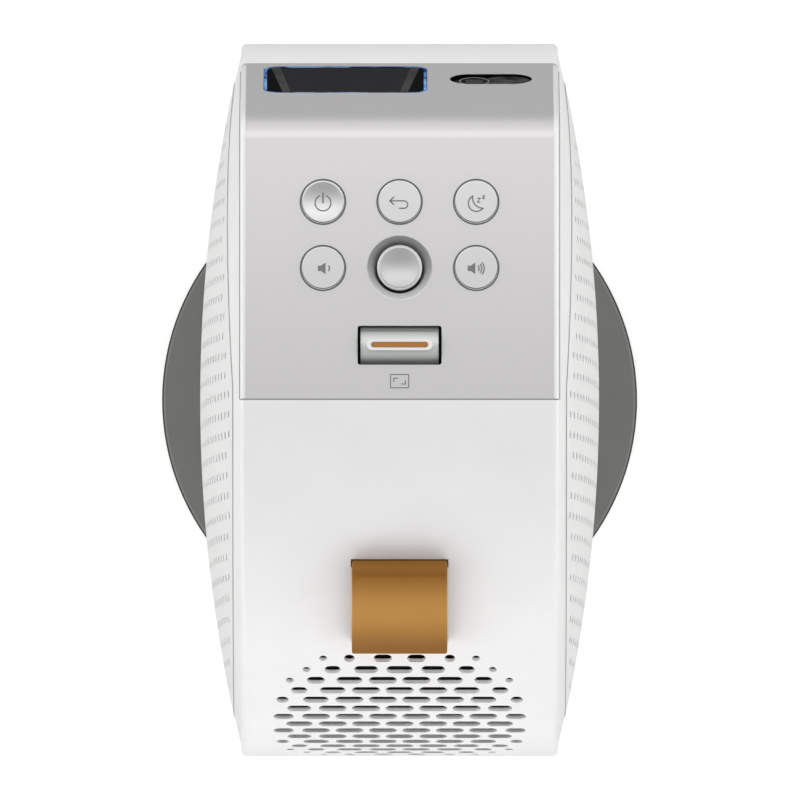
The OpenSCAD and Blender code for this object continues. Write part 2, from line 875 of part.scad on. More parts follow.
// Basket, surround and cone, turned about the driver's own axis
module driver(r, depth, cone) {
  difference() {
    union() {
      translate([0, 0, -2]) cylinder(r = r, h = 2);
      translate([0, 0, -depth]) cylinder(r1 = r * 0.55, r2 = r - 3, h = depth - 2);
    }
    if (cone) translate([0, 0, -depth * 0.45]) cylinder(r1 = r * 0.25, r2 = r - 5, h = depth * 0.45 + 0.01);
  }
  if (cone) translate([0, 0, -depth * 0.5]) sphere(r = r * 0.27);
}

module at_side(p) {
  in_drum() translate([frame_in, -p[0], p[1]]) rotate([0, 90, 0]) children();
}

module woofer() {
  color("#303030") at_side(driver_at) driver(30, 22, true);
}

module passive_radiator() {
  color("#303030") mirror([1, 0, 0]) at_side(driver_at) driver(30, 8, false);
}

module tweeter_left() {
  color("#303030") at_side(tweeter_at) driver(14, 8, true);
}

module tweeter_right() {
  color("#303030") mirror([1, 0, 0]) at_side(tweeter_at) driver(14, 8, true);
}

port_w = 62;
port_h = 15;
port_face = 106.2;

module at_port(x) {
  in_drum() on_rear(port_angle, x) translate([0, 0, port_face]) rotate([0, 0, 180]) children();
}

module port_panel() {
  color("#d8d8d8") difference() {
    at_port(0) translate([0, 0, -4]) linear_extrude(4) square([port_w, port_h], center = true);
    at_port(20) translate([0, 0, -5]) linear_extrude(10) square([15.1, 5.7], center = true);
    at_port(0) translate([0, 0, -5]) linear_extrude(10) square([13.3, 5.9], center = true);
    at_port(-13) translate([0, 0, -5]) linear_extrude(10) stadium(9.1, 3.4);
    at_port(-24) translate([0, 0, -5]) cylinder(r = 3, h = 10);
  }
}

// Metal sleeve around a tongue
module socket(w, h, t, depth, tongue) {
  translate([0, 0, -depth]) linear_extrude(depth) difference() {
    square([w, h], center = true);
    square([w - 2 * t, h - 2 * t], center = true);
  }
  translate([0, 0, -depth]) linear_extrude(1) square([w, h], center = true);
  translate([0, tongue[2], -depth]) linear_extrude(depth - 1.5) square([tongue[0], tongue[1]], center = true);
}

module hdmi_socket() {
  color("silver") at_port(20) socket(15, 5.6, 0.4, 11, [11, 1.2, 0]);
}

module usb_a_socket() {
  color("silver") at_port(0) socket(13.2, 5.8, 0.35, 13, [11, 1.8, 1]);
}

module usb_c_socket() {
  color("silver") at_port(-13) {
    translate([0, 0, -9]) linear_extrude(9) difference() {
      stadium(9, 3.3);
      stadium(8.3, 2.6);
    }
    translate([0, 0, -9]) linear_extrude(1) stadium(9, 3.3);
    translate([0, 0, -9]) linear_extrude(8) square([6.6, 0.7], center = true);
  }
}

module audio_jack() {
  color("#222222") at_port(-24) difference() {
    union() {
      translate([0, 0, -14]) cylinder(r = 2.9, h = 14);
      translate([-3.5, -3.5, -16]) cube([7, 7, 11.9]);
    }
    translate([0, 0, -15]) cylinder(r = 1.8, h = far);
  }
}

base_disc();
ballast_ring();
foot_ring();
cradle();
cradle_pad_left();
cradle_pad_right();
cradle_magnets();
base_screws();
drum_shell();
control_panel();
side_cover_left();
side_cover_right();
speaker_frame_left();
speaker_frame_right();
keeper_band_left();
keeper_band_right();
chassis_tray();
lens_window();
lens_bezel();
lens_barrel();
front_element();
focus_cell();
focus_element();
light_engine();
sensor_window();
sensor_housing();
camera_module();
range_sensor();
power_key();
back_key();
sleep_key();
volume_down_key();
volume_up_key();
joystick_knob();
joystick_stick();
joystick_gimbal();
joystick_housing();
zoom_rocker();
rocker_inlay();
rocker_bracket();
key_board();
strap();
strap_clamps();
vent_duct();
fan_frame();
fan_rotor();
heat_sink();
main_board();
battery_pack();
woofer();
passive_radiator();
tweeter_left();
tweeter_right();
port_panel();
hdmi_socket();
usb_a_socket();
usb_c_socket();
audio_jack();
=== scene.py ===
# %% [markdown]
# # A portable projector
# The object is a white drum that lies on its side and tilts in a saddle on a round base. A silver
# panel is bent over its front, with keys and a joystick on top and the lens window in its face.
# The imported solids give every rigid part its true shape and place. What is added here is what the
# solids leave plain: the perforated side covers, the leather strap, the printed signs, the glass,
# and a finish for every part.

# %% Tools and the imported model
from math import cos, pi, radians, sin, sqrt

import bmesh
import bpy
from mathutils import Matrix, Vector


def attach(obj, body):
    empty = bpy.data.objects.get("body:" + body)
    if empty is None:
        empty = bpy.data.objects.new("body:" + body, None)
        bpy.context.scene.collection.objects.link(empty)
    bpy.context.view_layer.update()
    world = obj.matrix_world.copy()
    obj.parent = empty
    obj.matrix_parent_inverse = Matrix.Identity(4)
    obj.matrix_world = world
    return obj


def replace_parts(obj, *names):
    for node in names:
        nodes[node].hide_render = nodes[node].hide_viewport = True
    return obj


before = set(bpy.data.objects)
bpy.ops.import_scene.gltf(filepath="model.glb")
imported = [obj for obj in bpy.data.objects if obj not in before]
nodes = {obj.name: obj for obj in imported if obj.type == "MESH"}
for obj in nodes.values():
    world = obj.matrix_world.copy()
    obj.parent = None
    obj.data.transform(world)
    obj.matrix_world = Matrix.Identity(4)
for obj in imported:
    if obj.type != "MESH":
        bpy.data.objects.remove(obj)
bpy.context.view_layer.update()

# %% [markdown]
# ## Millimetres and places
# The drum's outline is drawn from its tilt axis. Three local frames carry what sits on it: one on
# the flat top of the panel, one on the lens face, and one on the round rear. Each has X across the
# drum and Z out of the surface, so a key or a sign is drawn flat and then carried to its place.

# %% Units and local frames
MM = 0.001
AXLE = 118.9
DRUM_R = 107
TOP_SLOPE = 6.2
FACE_SLOPE = 75
LIP_ANGLE = 70.5
PANEL_HALF = 47.5


def shift(x, y, z):
    return Matrix.Translation((x, y, z))


def tip(angle):
    """A turn about X, in degrees."""
    return Matrix.Rotation(radians(angle), 4, "X")


drum = shift(0, 0, AXLE)


def on_top(x, s, height=0):
    """On the flat top of the panel, s mm forward of its rear seam."""
    return drum @ shift(0, 0, DRUM_R) @ tip(TOP_SLOPE) @ shift(x, -s, height)


def on_face(x, s, height=0):
    """On the lens face, s mm up from its lower edge."""
    lip = (0, -DRUM_R * sin(radians(LIP_ANGLE)), DRUM_R * cos(radians(LIP_ANGLE)))
    return drum @ shift(*lip) @ tip(FACE_SLOPE) @ shift(x, s, height)


def on_rear(angle, x, height=0):
    """On the round band, an angle behind the top, height mm over the surface."""
    return drum @ tip(-angle) @ shift(x, 0, DRUM_R + height)


print("lens face starts at", [round(v, 1) for v in on_face(0, 0).translation])

# %% [markdown]
# ## The camera
# The photograph looks straight down with hardly any perspective, so a very long lens stands far
# above the object. The front is at the top of the picture, which is a half turn about Z.

# %% Camera
LENS_MM = 1600
SENSOR_MM = 36
FIELD_MM = 239.2
FOCUS_HEIGHT_MM = 170
ASIDE_MM = -0.12
reach = LENS_MM * FIELD_MM / SENSOR_MM
camera = bpy.data.objects.new("camera", bpy.data.cameras.new("camera"))
camera.data.lens = LENS_MM
camera.data.sensor_width = SENSOR_MM
camera.data.clip_start = 1
camera.data.clip_end = 40
camera.location = (ASIDE_MM * MM, 0, (FOCUS_HEIGHT_MM + reach) * MM)
camera.rotation_euler = (0, 0, pi)
bpy.context.collection.objects.link(camera)
bpy.context.scene.camera = camera
print("camera height in m:", round(camera.location.z, 2))

# %% [markdown]
# ## Colours and nodes
# Colours are written as sRGB hex values and turned to linear. One function adds a node, sets it and
# links it, so a material reads as a list of what is on it.

# %% Material helpers


def linear(code):
    """An sRGB hex value as a linear colour."""
    values = [int(code[i:i + 2], 16) / 255 for i in (1, 3, 5)]
    return [v / 12.92 if v <= 0.04045 else ((v + 0.055) / 1.055) ** 2.4 for v in values] + [1]


def add(tree, kind, links=None, **settings):
    """Adds a node, with its settings or input values, and links named inputs to sockets."""
    made = tree.nodes.new("ShaderNode" + kind)
    for key, value in settings.items():
        name = key.replace("_", " ").title()
        if hasattr(made, key):
            setattr(made, key, value)
        else:
            made.inputs[name].default_value = value
    for key, socket in (links or {}).items():
        tree.links.new(socket, made.inputs[key])
    return made


def new_material(name, colour, roughness, **settings):
    """A Principled material: the tree, and its shader node."""
    material = bpy.data.materials.new(name)
    material.use_nodes = True
    tree = material.node_tree
    shader = tree.nodes["Principled BSDF"]
    shader.inputs["Base Color"].default_value = linear(colour)
    shader.inputs["Roughness"].default_value = roughness
    for key, value in settings.items():
        shader.inputs[key.replace("_", " ").title().replace("Ior", "IOR")].default_value = value
    return material, tree, shader


def grain(tree, size_mm, detail=2, stretch=(1, 1, 1)):
    """Noise whose features are about size_mm across."""
    place = add(tree, "TexCoord").outputs["Object"]
    turned = add(tree, "Mapping", {"Vector": place})
    turned.inputs["Scale"].default_value = stretch
    return add(tree, "TexNoise", {"Vector": turned.outputs["Vector"]},
               scale=1 / (size_mm * MM), detail=detail)


def spread(tree, socket, low, high):
    """Maps noise from its usual 0.3 to 0.7 to a range."""
    made = add(tree, "MapRange", {"Value": socket})
    for name, value in (("From Min", 0.3), ("From Max", 0.7), ("To Min", low), ("To Max", high)):
        made.inputs[name].default_value = value
    return made.outputs["Result"]


def vary_roughness(tree, shader, socket, low, high):
    """Roughness that follows a noise between two values."""
    tree.links.new(spread(tree, socket, low, high), shader.inputs["Roughness"])


def roughen(tree, shader, socket, height_mm, strength=1):
    """A bump of a given height in millimetres."""
    bump = add(tree, "Bump", {"Height": socket}, strength=strength)
    bump.inputs["Distance"].default_value = height_mm * MM
    tree.links.new(bump.outputs["Normal"], shader.inputs["Normal"])


def fade(tree, middle_mm, near_mm, far_mm):
    """0 near a line across the object and 1 away from it, both ways along Y."""
    place = add(tree, "TexCoord").outputs["Object"]
    along = add(tree, "SeparateXYZ", {"Vector": place}).outputs["Y"]
    away = add(tree, "Math", {0: along}, operation="SUBTRACT")
    away.inputs[1].default_value = middle_mm * MM
    away = add(tree, "Math", {0: away.outputs["Value"]}, operation="ABSOLUTE")
    shade = add(tree, "MapRange", {"Value": away.outputs["Value"]}, interpolation_type="SMOOTHSTEP")
    shade.inputs["From Min"].default_value = near_mm * MM
    shade.inputs["From Max"].default_value = far_mm * MM
    return shade.outputs["Result"]


def tint(tree, shader, socket, first, second):
    """Base colour between two hex values."""
    mix = add(tree, "Mix", {"Factor": socket}, data_type="RGBA")
    mix.inputs["A"].default_value, mix.inputs["B"].default_value = linear(first), linear(second)
    result = next(s for s in mix.outputs if s.type == "RGBA")
    tree.links.new(result, shader.inputs["Base Color"])


# %% [markdown]
# ## Finishes
# Each finish starts from what the real one is and how its surface was made. The spark-eroded mould
# texture of the plastics is about 0.1 mm across, which is under half a pixel here, so it is drawn
# a little coarser to show as a soft break-up of the light.

# %% Plastics


def moulded_plastic(name, colour, second, roughness, texture_mm=0.35, depth_mm=0.006):
    """ABS from a spark-eroded mould: fine texture, and roughness that varies a little."""
    material, tree, shader = new_material(name, colour, roughness)
    cloud = grain(tree, 18, 3)
    tint(tree, shader, spread(tree, cloud.outputs["Fac"], 0, 1), colour, second)
    fine = grain(tree, texture_mm, 2)
    vary_roughness(tree, shader, fine.outputs["Fac"], roughness - 0.04, roughness + 0.04)
    roughen(tree, shader, fine.outputs["Fac"], depth_mm)
    return material


white_abs = moulded_plastic("white_moulded_abs", "#F3F2F2", "#F0EFEF", 0.45)
cover_abs = moulded_plastic("white_cover_abs", "#EFEFEE", "#ECECEB", 0.5)
base_abs = moulded_plastic("grey_textured_abs", "#777774", "#747471", 0.55, 0.4, 0.01)
black_abs = moulded_plastic("black_abs", "#1A1A1A", "#161616", 0.5)
grey_abs = moulded_plastic("dark_grey_abs", "#3A3A3B", "#343435", 0.5)
port_abs = moulded_plastic("port_panel_abs", "#D8D8D7", "#D4D4D3", 0.42)
engine_pbt = moulded_plastic("glass_filled_pbt", "#2B2D30", "#24262A", 0.6, 0.6, 0.015)


def rubber(name, colour):
    """Silicone rubber: matt, with a dusty sheen at grazing angles."""
    material, tree, shader = new_material(name, colour, 0.78, sheen_weight=0.15, sheen_roughness=0.5)
    fine = grain(tree, 0.5, 2)
    roughen(tree, shader, fine.outputs["Fac"], 0.01)
    return material


black_rubber = rubber("black_silicone_rubber", "#1E1E1E")
# Grey rubber for the rings in the key gaps: painted shade
key_gap_shade_rubber = rubber("grey_painted_gap_shade", "#7E7E7E")
# Dark grey rubber for the strips in the covers' seams: painted shade
cover_seam_shade_rubber = rubber("dark_painted_seam_shade", "#6E6E6E")
# Light grey rubber for the strip in the panel's seam: painted shade
panel_seam_shade_rubber = rubber("light_painted_seam_shade", "#A4A4A4")

# %% [markdown]
# The panel is a sheet of aluminium, blasted and clear anodised, so it glows softly and shows no
# sharp reflection. The keys are plastic with a metallic coat of the same tone.

# %% Metals


def satin_metal(name, colour, roughness, metallic=1.0, texture_mm=0.4, depth_mm=0.004,
                stretch=(1, 1, 1), painted_shade=None):
    """Metal, or paint with metal flakes; painted_shade gives the colour its painted shade or light fades
    to, and where (see fade).
    """
    material, tree, shader = new_material(name, colour, roughness, metallic=metallic)
    if painted_shade:
        tint(tree, shader, fade(tree, *painted_shade[1:]), colour, painted_shade[0])
    fine = grain(tree, texture_mm, 2, stretch)
    vary_roughness(tree, shader, fine.outputs["Fac"], roughness - 0.05, roughness + 0.05)
    roughen(tree, shader, fine.outputs["Fac"], depth_mm)
    return material


panel_silver = satin_metal("blasted_anodised_aluminium", "#D6D4D5", 0.48, 0.75)
edge_silver = satin_metal("cut_edge_aluminium", "#EAEAEB", 0.5, 0.25, 0.3, 0.002)
key_silver = satin_metal("silver_key_paint", "#D6D5D6", 0.42, 0.7, 0.3, 0.003)
knob_silver = satin_metal("silver_knob_paint", "#C9C9CA", 0.42, 0.5, 0.3, 0.003)
# Dark paint on the keys' rear edges: painted shade
painted_key_shade = satin_metal("dark_painted_key_shade", "#565656", 0.6, 0.2, 0.3, 0.002)
# The roller's paint darkens towards its front and rear: painted shade where the window's walls shade it
rocker_silver = satin_metal("silver_rocker_paint", "#D6D9D6", 0.45, 0.3, 0.3, 0.003,
                            painted_shade=("#666B68", -16.5, 1.2, 6.6))
# The bowl's paint is darker on its front wall and lighter on its rear wall: painted shade and painted
# light
bowl_silver = satin_metal("silver_bowl_paint", "#A2A2A3", 0.42, 0.4, 0.3, 0.003,
                          painted_shade=("#E6E6E6", -49, 5, 19))
inlay_bronze = satin_metal("brushed_bronze_inlay", "#B27A3C", 0.4, 0.5, 0.25, 0.004, (0.1, 1, 1))
zinc_steel = satin_metal("zinc_plated_steel", "#BDBFC2", 0.32, 1, 0.6, 0.004)
alloy = satin_metal("extruded_aluminium", "#C9CACC", 0.36, 1, 0.5, 0.006, (1, 1, 0.1))
brass = satin_metal("turned_brass", "#C9A24C", 0.28, 1, 0.3, 0.003)
cast_iron = satin_metal("cast_iron", "#55565A", 0.6, 0.8, 1.2, 0.03)

# %% [markdown]
# The cover glass has a dark coating that lets the beam out and hides the lens. Coated glass hardly
# reflects, and what it does reflect is blue. The lens elements behind it are clear.

# %% Glass


def coated_glass(name, colour, alpha, level, tint_code, roughness=0.04):
    """Glass whose coating tints what little it reflects."""
    material, tree, shader = new_material(name, colour, roughness, alpha=alpha, specular_ior_level=level,
                                          specular_tint=linear(tint_code), ior=1.25)
    haze = grain(tree, 25, 2)
    vary_roughness(tree, shader, haze.outputs["Fac"], roughness, roughness + 0.02)
    return material


window_glass = coated_glass("coated_cover_glass", "#0B0D12", 0.88, 0.04, "#3F78D8")
sensor_glass = coated_glass("smoked_acrylic", "#070708", 0.98, 0.02, "#B8C4D8", 0.08)
lens_glass = coated_glass("coated_lens_glass", "#20304A", 0.55, 0.5, "#7FA8FF", 0.01)

# %% [markdown]
# The strap is vegetable-tanned leather. Its colour is painted lighter across its middle and darker
# towards where it folds into its slots: painted light and painted shade. Its grain is about 0.6 mm
# across.

# %% Leather, boards and wraps
STRAP_PAINTED_LIGHT_AT = 63
STRAP_PAINTED_SHADE_REACH = 13


def leather_with_painted_shade():
    """Leather with a random tone, painted lighter across the middle and darker towards the two folds:
    painted light and shade.
    """
    material, tree, shader = new_material("leather_with_painted_shade", "#B07C38", 0.5, specular_ior_level=0.2)
    cloud = grain(tree, 9, 3)
    place = add(tree, "TexCoord").outputs["Object"]
    # Painted shade: darker away from the strap's middle, painted light along it
    shade = fade(tree, STRAP_PAINTED_LIGHT_AT, 1, STRAP_PAINTED_SHADE_REACH)
    tone_and_painted_shade = add(tree, "Math", {0: cloud.outputs["Fac"], 2: shade}, operation="MULTIPLY_ADD")
    tone_and_painted_shade.inputs[1].default_value = 0.12
    tint(tree, shader, tone_and_painted_shade.outputs["Value"], "#BB8840", "#8C5C1C")
    pores = add(tree, "TexVoronoi", {"Vector": place}, scale=1 / (0.6 * MM), feature="DISTANCE_TO_EDGE")
    vary_roughness(tree, shader, cloud.outputs["Fac"], 0.46, 0.56)
    roughen(tree, shader, pores.outputs["Distance"], 0.03, 0.6)
    return material


leather = leather_with_painted_shade()
solder_mask = moulded_plastic("green_solder_mask", "#1F5A36", "#1A4E2F", 0.35, 1.2, 0.01)
battery_film = moulded_plastic("blue_shrink_film", "#3D6C9A", "#386490", 0.3, 4, 0.02)
printed_grey = moulded_plastic("printed_grey", "#7D7B7A", "#777574", 0.6)
speaker_felt = moulded_plastic("black_speaker_felt", "#202020", "#181818", 0.9, 0.5, 0.08)


def screen_print(name, colour, second, contrast=0.0):
    """Ink on glass: hardly any gloss of its own, and a tone that drifts across it."""
    material, tree, shader = new_material(name, colour, 0.6, specular_ior_level=0.05, ior=1.2)
    cloud = grain(tree, 6, 2)
    tint(tree, shader, spread(tree, cloud.outputs["Fac"], -contrast, 1 + contrast), colour, second)
    return material


black_print = screen_print("black_screen_print", "#0C0C0D", "#070708")
# Grey ink: the camera's dial, and the painted reflection of the funnel's walls on the window
grey_ink_and_painted_reflection = screen_print("grey_ink_and_painted_reflection_paint", "#4A4A4A", "#3A3A3A")
ring_grey = screen_print("grey_ring_paint", "#8C8C8C", "#747474")
filter_grey = screen_print("grey_filter_acrylic", "#505050", "#1E1E1E")
# Painted reflection: the blue that the glass's ground rim throws back
painted_blue_reflection = screen_print("painted_blue_reflection_edge", "#7DA8DC", "#132F6A", 0.6)

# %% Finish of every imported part
finishes = {
    white_abs: "drum_shell", cover_abs: "side_cover_left side_cover_right",
    base_abs: "base_disc cradle", cast_iron: "ballast_ring",
    black_rubber: "foot_ring cradle_pad_left cradle_pad_right",
    zinc_steel: "cradle_magnets base_screws keeper_band_left keeper_band_right joystick_stick"
                " strap_clamps hdmi_socket usb_a_socket usb_c_socket",
    panel_silver: "control_panel",
    key_silver: "power_key back_key sleep_key volume_down_key volume_up_key",
    rocker_silver: "zoom_rocker", knob_silver: "joystick_knob", inlay_bronze: "rocker_inlay",
    grey_abs: "speaker_frame_left speaker_frame_right joystick_housing rocker_bracket woofer"
              " passive_radiator tweeter_left tweeter_right",
    black_abs: "lens_bezel lens_barrel sensor_housing camera_module range_sensor vent_duct fan_frame"
               " fan_rotor audio_jack",
    alloy: "chassis_tray heat_sink", window_glass: "lens_window", sensor_glass: "sensor_window",
    lens_glass: "front_element focus_element", brass: "focus_cell joystick_gimbal",
    engine_pbt: "light_engine", solder_mask: "key_board main_board", battery_film: "battery_pack",
    leather: "strap", port_abs: "port_panel",
}
finished = []
for material, names in finishes.items():
    for name in names.split():
        for place in nodes[name].material_slots:
            place.material = material
        finished.append(name)
print("parts without a finish:", sorted(set(nodes) - set(finished)))

# %% [markdown]
# ## Making a piece
# Pieces are drawn in millimetres in a bmesh, carried to their place and scaled to metres in the
# mesh itself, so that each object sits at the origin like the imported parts.

# %% From bmesh to piece


def piece(shape, name, material, body, place=None, crease=35):
    """Ends a bmesh: outward faces, smooth shading with creases, and the body it moves with."""
    bmesh.ops.recalc_face_normals(shape, faces=shape.faces)
    if place is not None:
        shape.transform(place)
    shape.transform(Matrix.Scale(MM, 4))
    mesh = bpy.data.meshes.new(name)
    shape.to_mesh(mesh)
    shape.free()
    mesh.shade_smooth()
    mesh.set_sharp_from_angle(angle=radians(crease))
    mesh.materials.append(material)
    made = bpy.data.objects.new(name, mesh)
    bpy.context.collection.objects.link(made)
    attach(made, body)
    print(f"{name}: {len(mesh.polygons)} faces")
    return made


def moved(shape, verts, step):
    bmesh.ops.translate(shape, verts=verts, vec=step)


def new_parts(result, kind="Vert", key="geom"):
    """The vertices, edges or faces that a bmesh operator made."""
    return [part for part in result[key] if isinstance(part, getattr(bmesh.types, "BM" + kind))]


def thicken(shape, step):
    """Gives a sheet its thickness: a second sheet at a step from it, and walls between."""
    far = bmesh.ops.extrude_face_region(shape, geom=shape.faces[:], use_keep_orig=True)
    moved(shape, new_parts(far), step)


def make_hole(shape, face, width):
    """Leaves only a frame of a face."""
    bmesh.ops.inset_individual(shape, faces=[face], thickness=width)
    bmesh.ops.delete(shape, geom=[face], context="FACES")


# %% [markdown]
# ## Perforated side covers
# Each cover is a shallow dome with hundreds of round holes in a slanted lattice. Making every hole
# with a boolean is slow. Here each cell of a grid is inset to a ring of sixteen points, the ring is
# drawn out to a circle and the middle is taken away. The outline is convex, so it is cut with a
# fan of planes, and the flat sheet is then raised to the dome and given its thickness.

# %% Perforated cover
COVER_R = 95.3
FLAT_R = 151.7
FLAT_CENTRE = Vector((-64.8 * sin(radians(40)), -64.8 * cos(radians(40))))
DOME_R = 451.2
DOME_TOP = 59.9
COVER_T = 1.2
COVER_SPAN = 99
CELLS = 34
HOLE_PITCH = (5.96, 5.75)
HOLE_R = 1.22
HOLES_WITHIN = 90.2
HOLES_FROM_FLAT = 6
LATTICE_SLANT = 3


def dome_height(y, z):
    """How far the dome stands from the drum's middle plane."""
    return DOME_TOP - DOME_R + sqrt(DOME_R ** 2 - y * y - z * z)


def cut_sheet(shape, spot, normal, clear_outer=True):
    """Cuts along a plane, and clears its outer or its inner side."""
    bmesh.ops.bisect_plane(shape, geom=shape.verts[:] + shape.edges[:] + shape.faces[:], dist=1e-5,
                           plane_co=spot, plane_no=normal, clear_outer=clear_outer,
                           clear_inner=not clear_outer)


def cut_outline(shape, inset=0):
    """Cuts a sheet in (u, w), drawn in X and Y, to the cover's outline."""
    planes = [(Vector((0, 0)), COVER_R - inset, a) for a in range(0, 360, 3)]
    planes += [(FLAT_CENTRE, FLAT_R - inset, a) for a in range(-30, 120, 2)]
    for centre, radius, a in planes:
        way = Vector((sin(radians(a)), cos(radians(a))))
        spot = centre + way * radius
        cut_sheet(shape, (*spot, 0), (*way, 0))


def perforated_sheet():
    """A flat sheet in (u, w) with its lattice of holes."""
    shape = bmesh.new()
    bmesh.ops.create_grid(shape, x_segments=CELLS, y_segments=CELLS, size=1)
    bmesh.ops.scale(shape, verts=shape.verts, vec=(*(CELLS * pitch / 2 for pitch in HOLE_PITCH), 1))
    slant = Matrix.Identity(4)
    slant[0][1] = sin(radians(LATTICE_SLANT))
    middles = {face: slant @ face.calc_center_median() for face in shape.faces}
    holed = [face for face, at in middles.items() if at.length < HOLES_WITHIN
             and (at.xy - FLAT_CENTRE).length < FLAT_R - HOLES_FROM_FLAT]
    rim = list({e for f in holed for e in f.edges})
    bmesh.ops.bisect_edges(shape, edges=rim, cuts=3)
    holed = [f for f in shape.faces if len(f.verts) == 16]
    bmesh.ops.inset_individual(shape, faces=holed, thickness=1.2)
    for face in holed:
        centre = face.calc_center_median()
        for vert in face.verts:
            way = vert.co - centre
            vert.co = centre + way.normalized() * HOLE_R
    print("holes:", len(holed))
    bmesh.ops.delete(shape, geom=holed, context="FACES")
    shape.transform(slant)
    return shape


def side_cover(side, name):
    shape = perforated_sheet()
    cut_outline(shape)
    bmesh.ops.triangulate(shape, faces=[f for f in shape.faces if len(f.verts) > 16])
    for vert in shape.verts:
        u, w = vert.co.xy
        vert.co = (dome_height(u, w), -u, w)
    thicken(shape, (-COVER_T, 0, 0))
    bmesh.ops.scale(shape, verts=shape.verts, vec=(side, 1, 1))
    return piece(shape, name, cover_abs, "drum", drum)


covers = {1: side_cover(1, "perforated_cover_left"), -1: side_cover(-1, "perforated_cover_right")}
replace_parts(covers[1], "side_cover_left")
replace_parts(covers[-1], "side_cover_right")

# %% [markdown]
# Behind each cover lies a thin black felt that keeps dust out of the speakers and makes the holes
# look dark.

# %% Speaker felt
FELT_GAP = 0.3
FELT_T = 0.3
FELT_INSET = 5.5


def felt(side, name):
    shape = bmesh.new()
    bmesh.ops.create_grid(shape, x_segments=24, y_segments=24, size=COVER_SPAN)
    cut_outline(shape, FELT_INSET)
    for vert in shape.verts:
        u, w = vert.co.xy
        vert.co = (dome_height(u, w) - COVER_T - FELT_GAP, -u, w)
    thicken(shape, (-FELT_T, 0, 0))
    bmesh.ops.scale(shape, verts=shape.verts, vec=(side, 1, 1))
    return piece(shape, name, speaker_felt, "drum", drum)


felt(1, "speaker_felt_left")
felt(-1, "speaker_felt_right")

# %% [markdown]
# ## The leather strap
# A strip with rounded edges comes out of one slot, bends back, follows the drum and dives into the
# other slot. Its section is spun about each bend in turn, which keeps it one clean band.

# %% Strap
STRAP_HALF = 14.25
STRAP_T = 2.2
STRAP_R = 114
STRAP_FROM, STRAP_TO = 27.8, 41
STRAP_BEND = 2.5
STRAP_ROOT = 100.5
STRAP_ROUND = 0.55


def strap_piece():
    shape = bmesh.new()
    half_t = STRAP_T / 2
    # The section lies across the drum, drawn where it comes out of the front slot
    section = bmesh.ops.create_circle(shape, segments=32, radius=half_t)["verts"]
    for vert in section:
        way = 1 if vert.co.x > 0 else -1
        vert.co.x = vert.co.x * STRAP_ROUND + way * (STRAP_HALF - STRAP_ROUND * half_t)
    start = on_rear(STRAP_FROM, 0) @ shift(0, -(STRAP_BEND - half_t), STRAP_ROOT - DRUM_R)
    bmesh.ops.transform(shape, matrix=start, verts=section)
    bmesh.ops.contextual_create(shape, geom=shape.edges[:])
    edges = shape.edges[:]

    def straight(edges, angle, length):
        out = Vector((0, sin(radians(angle)), cos(radians(angle))))
        grown = bmesh.ops.extrude_edge_only(shape, edges=edges)
        moved(shape, new_parts(grown), out * length)
        return new_parts(grown, "Edge")

    def bent(edges, centre, angle, steps):
        turned = bmesh.ops.spin(shape, geom=edges, cent=centre, axis=(1, 0, 0), angle=radians(angle),
                                steps=steps, use_merge=False)
        return new_parts(turned, "Edge", "geom_last")

    bend_r = STRAP_R - STRAP_BEND
    first = (on_rear(STRAP_FROM, 0) @ shift(0, 0, bend_r - DRUM_R)).translation
    second = (on_rear(STRAP_TO, 0) @ shift(0, 0, bend_r - DRUM_R)).translation
    edges = straight(edges, STRAP_FROM, bend_r - STRAP_ROOT)
    edges = bent(edges, first, -90, 8)
    edges = bent(edges, drum.translation, -(STRAP_TO - STRAP_FROM), 18)
    edges = bent(edges, second, -90, 8)
    edges = straight(edges, STRAP_TO, STRAP_ROOT - bend_r)
    bmesh.ops.contextual_create(shape, geom=edges)
    return piece(shape, "leather_strap", leather, "drum", None, 50)


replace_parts(strap_piece(), "strap")

# %% [markdown]
# ## Printed signs
# The signs are thin lines of grey ink. Each is drawn as ribbons: an arc is a short edge spun round
# its centre, and a bar is a short edge drawn out. The ink is 0.03 mm thick.

# %% Sign helpers
INK_T = 0.03
LINE = 0.4


def bar(shape, start, end, width=LINE):
    """A straight ribbon."""
    start, end = Vector((*start, 0)), Vector((*end, 0))
    side = Vector((-(end - start).y, (end - start).x, 0)).normalized() * width / 2
    edge = shape.edges.new([shape.verts.new(start - side), shape.verts.new(start + side)])
    grown = bmesh.ops.extrude_edge_only(shape, edges=[edge])
    moved(shape, new_parts(grown), end - start)


def arc(shape, centre, radius, start, end, width=LINE):
    """A ribbon round centre, with angles counted from X."""
    way = Vector((cos(radians(start)), sin(radians(start)), 0))
    centre = Vector((*centre, 0))
    edge = shape.edges.new([shape.verts.new(centre + way * (radius - width / 2)),
                            shape.verts.new(centre + way * (radius + width / 2))])
    steps = max(4, int(abs(end - start) / 8))
    bmesh.ops.spin(shape, geom=[edge, *edge.verts], cent=centre, axis=(0, 0, 1),
                   angle=radians(end - start), steps=steps, use_merge=False)


def patch(shape, points):
    """A filled outline."""
    shape.faces.new([shape.verts.new((*p, 0)) for p in points])


def ink(shape, name, body, place, floor=None):
    """Gives a flat sign its thickness, on a surface that floor(x, y) may hollow."""
    bmesh.ops.remove_doubles(shape, verts=shape.verts, dist=1e-4)
    bmesh.ops.recalc_face_normals(shape, faces=shape.faces)
    if floor:
        for vert in shape.verts:
            vert.co.z = floor(vert.co.x, vert.co.y)
    thicken(shape, (0, 0, INK_T))
    return piece(shape, name, printed_grey, body, place)


# %% The six signs
KEY_PITCH = 22.8
ROW_FAR, ROW_NEAR = 59.3, 39.5
KEY_RISE = 0.5
SIGN_LIFT = 0.004
# Seen from behind the projector, a sign's right is -X and its top is -Y: a half turn about Z
upright = Matrix.Rotation(pi, 4, "Z")


def sign_place(x, s, rise=KEY_RISE):
    return on_top(x, s, rise + SIGN_LIFT) @ upright


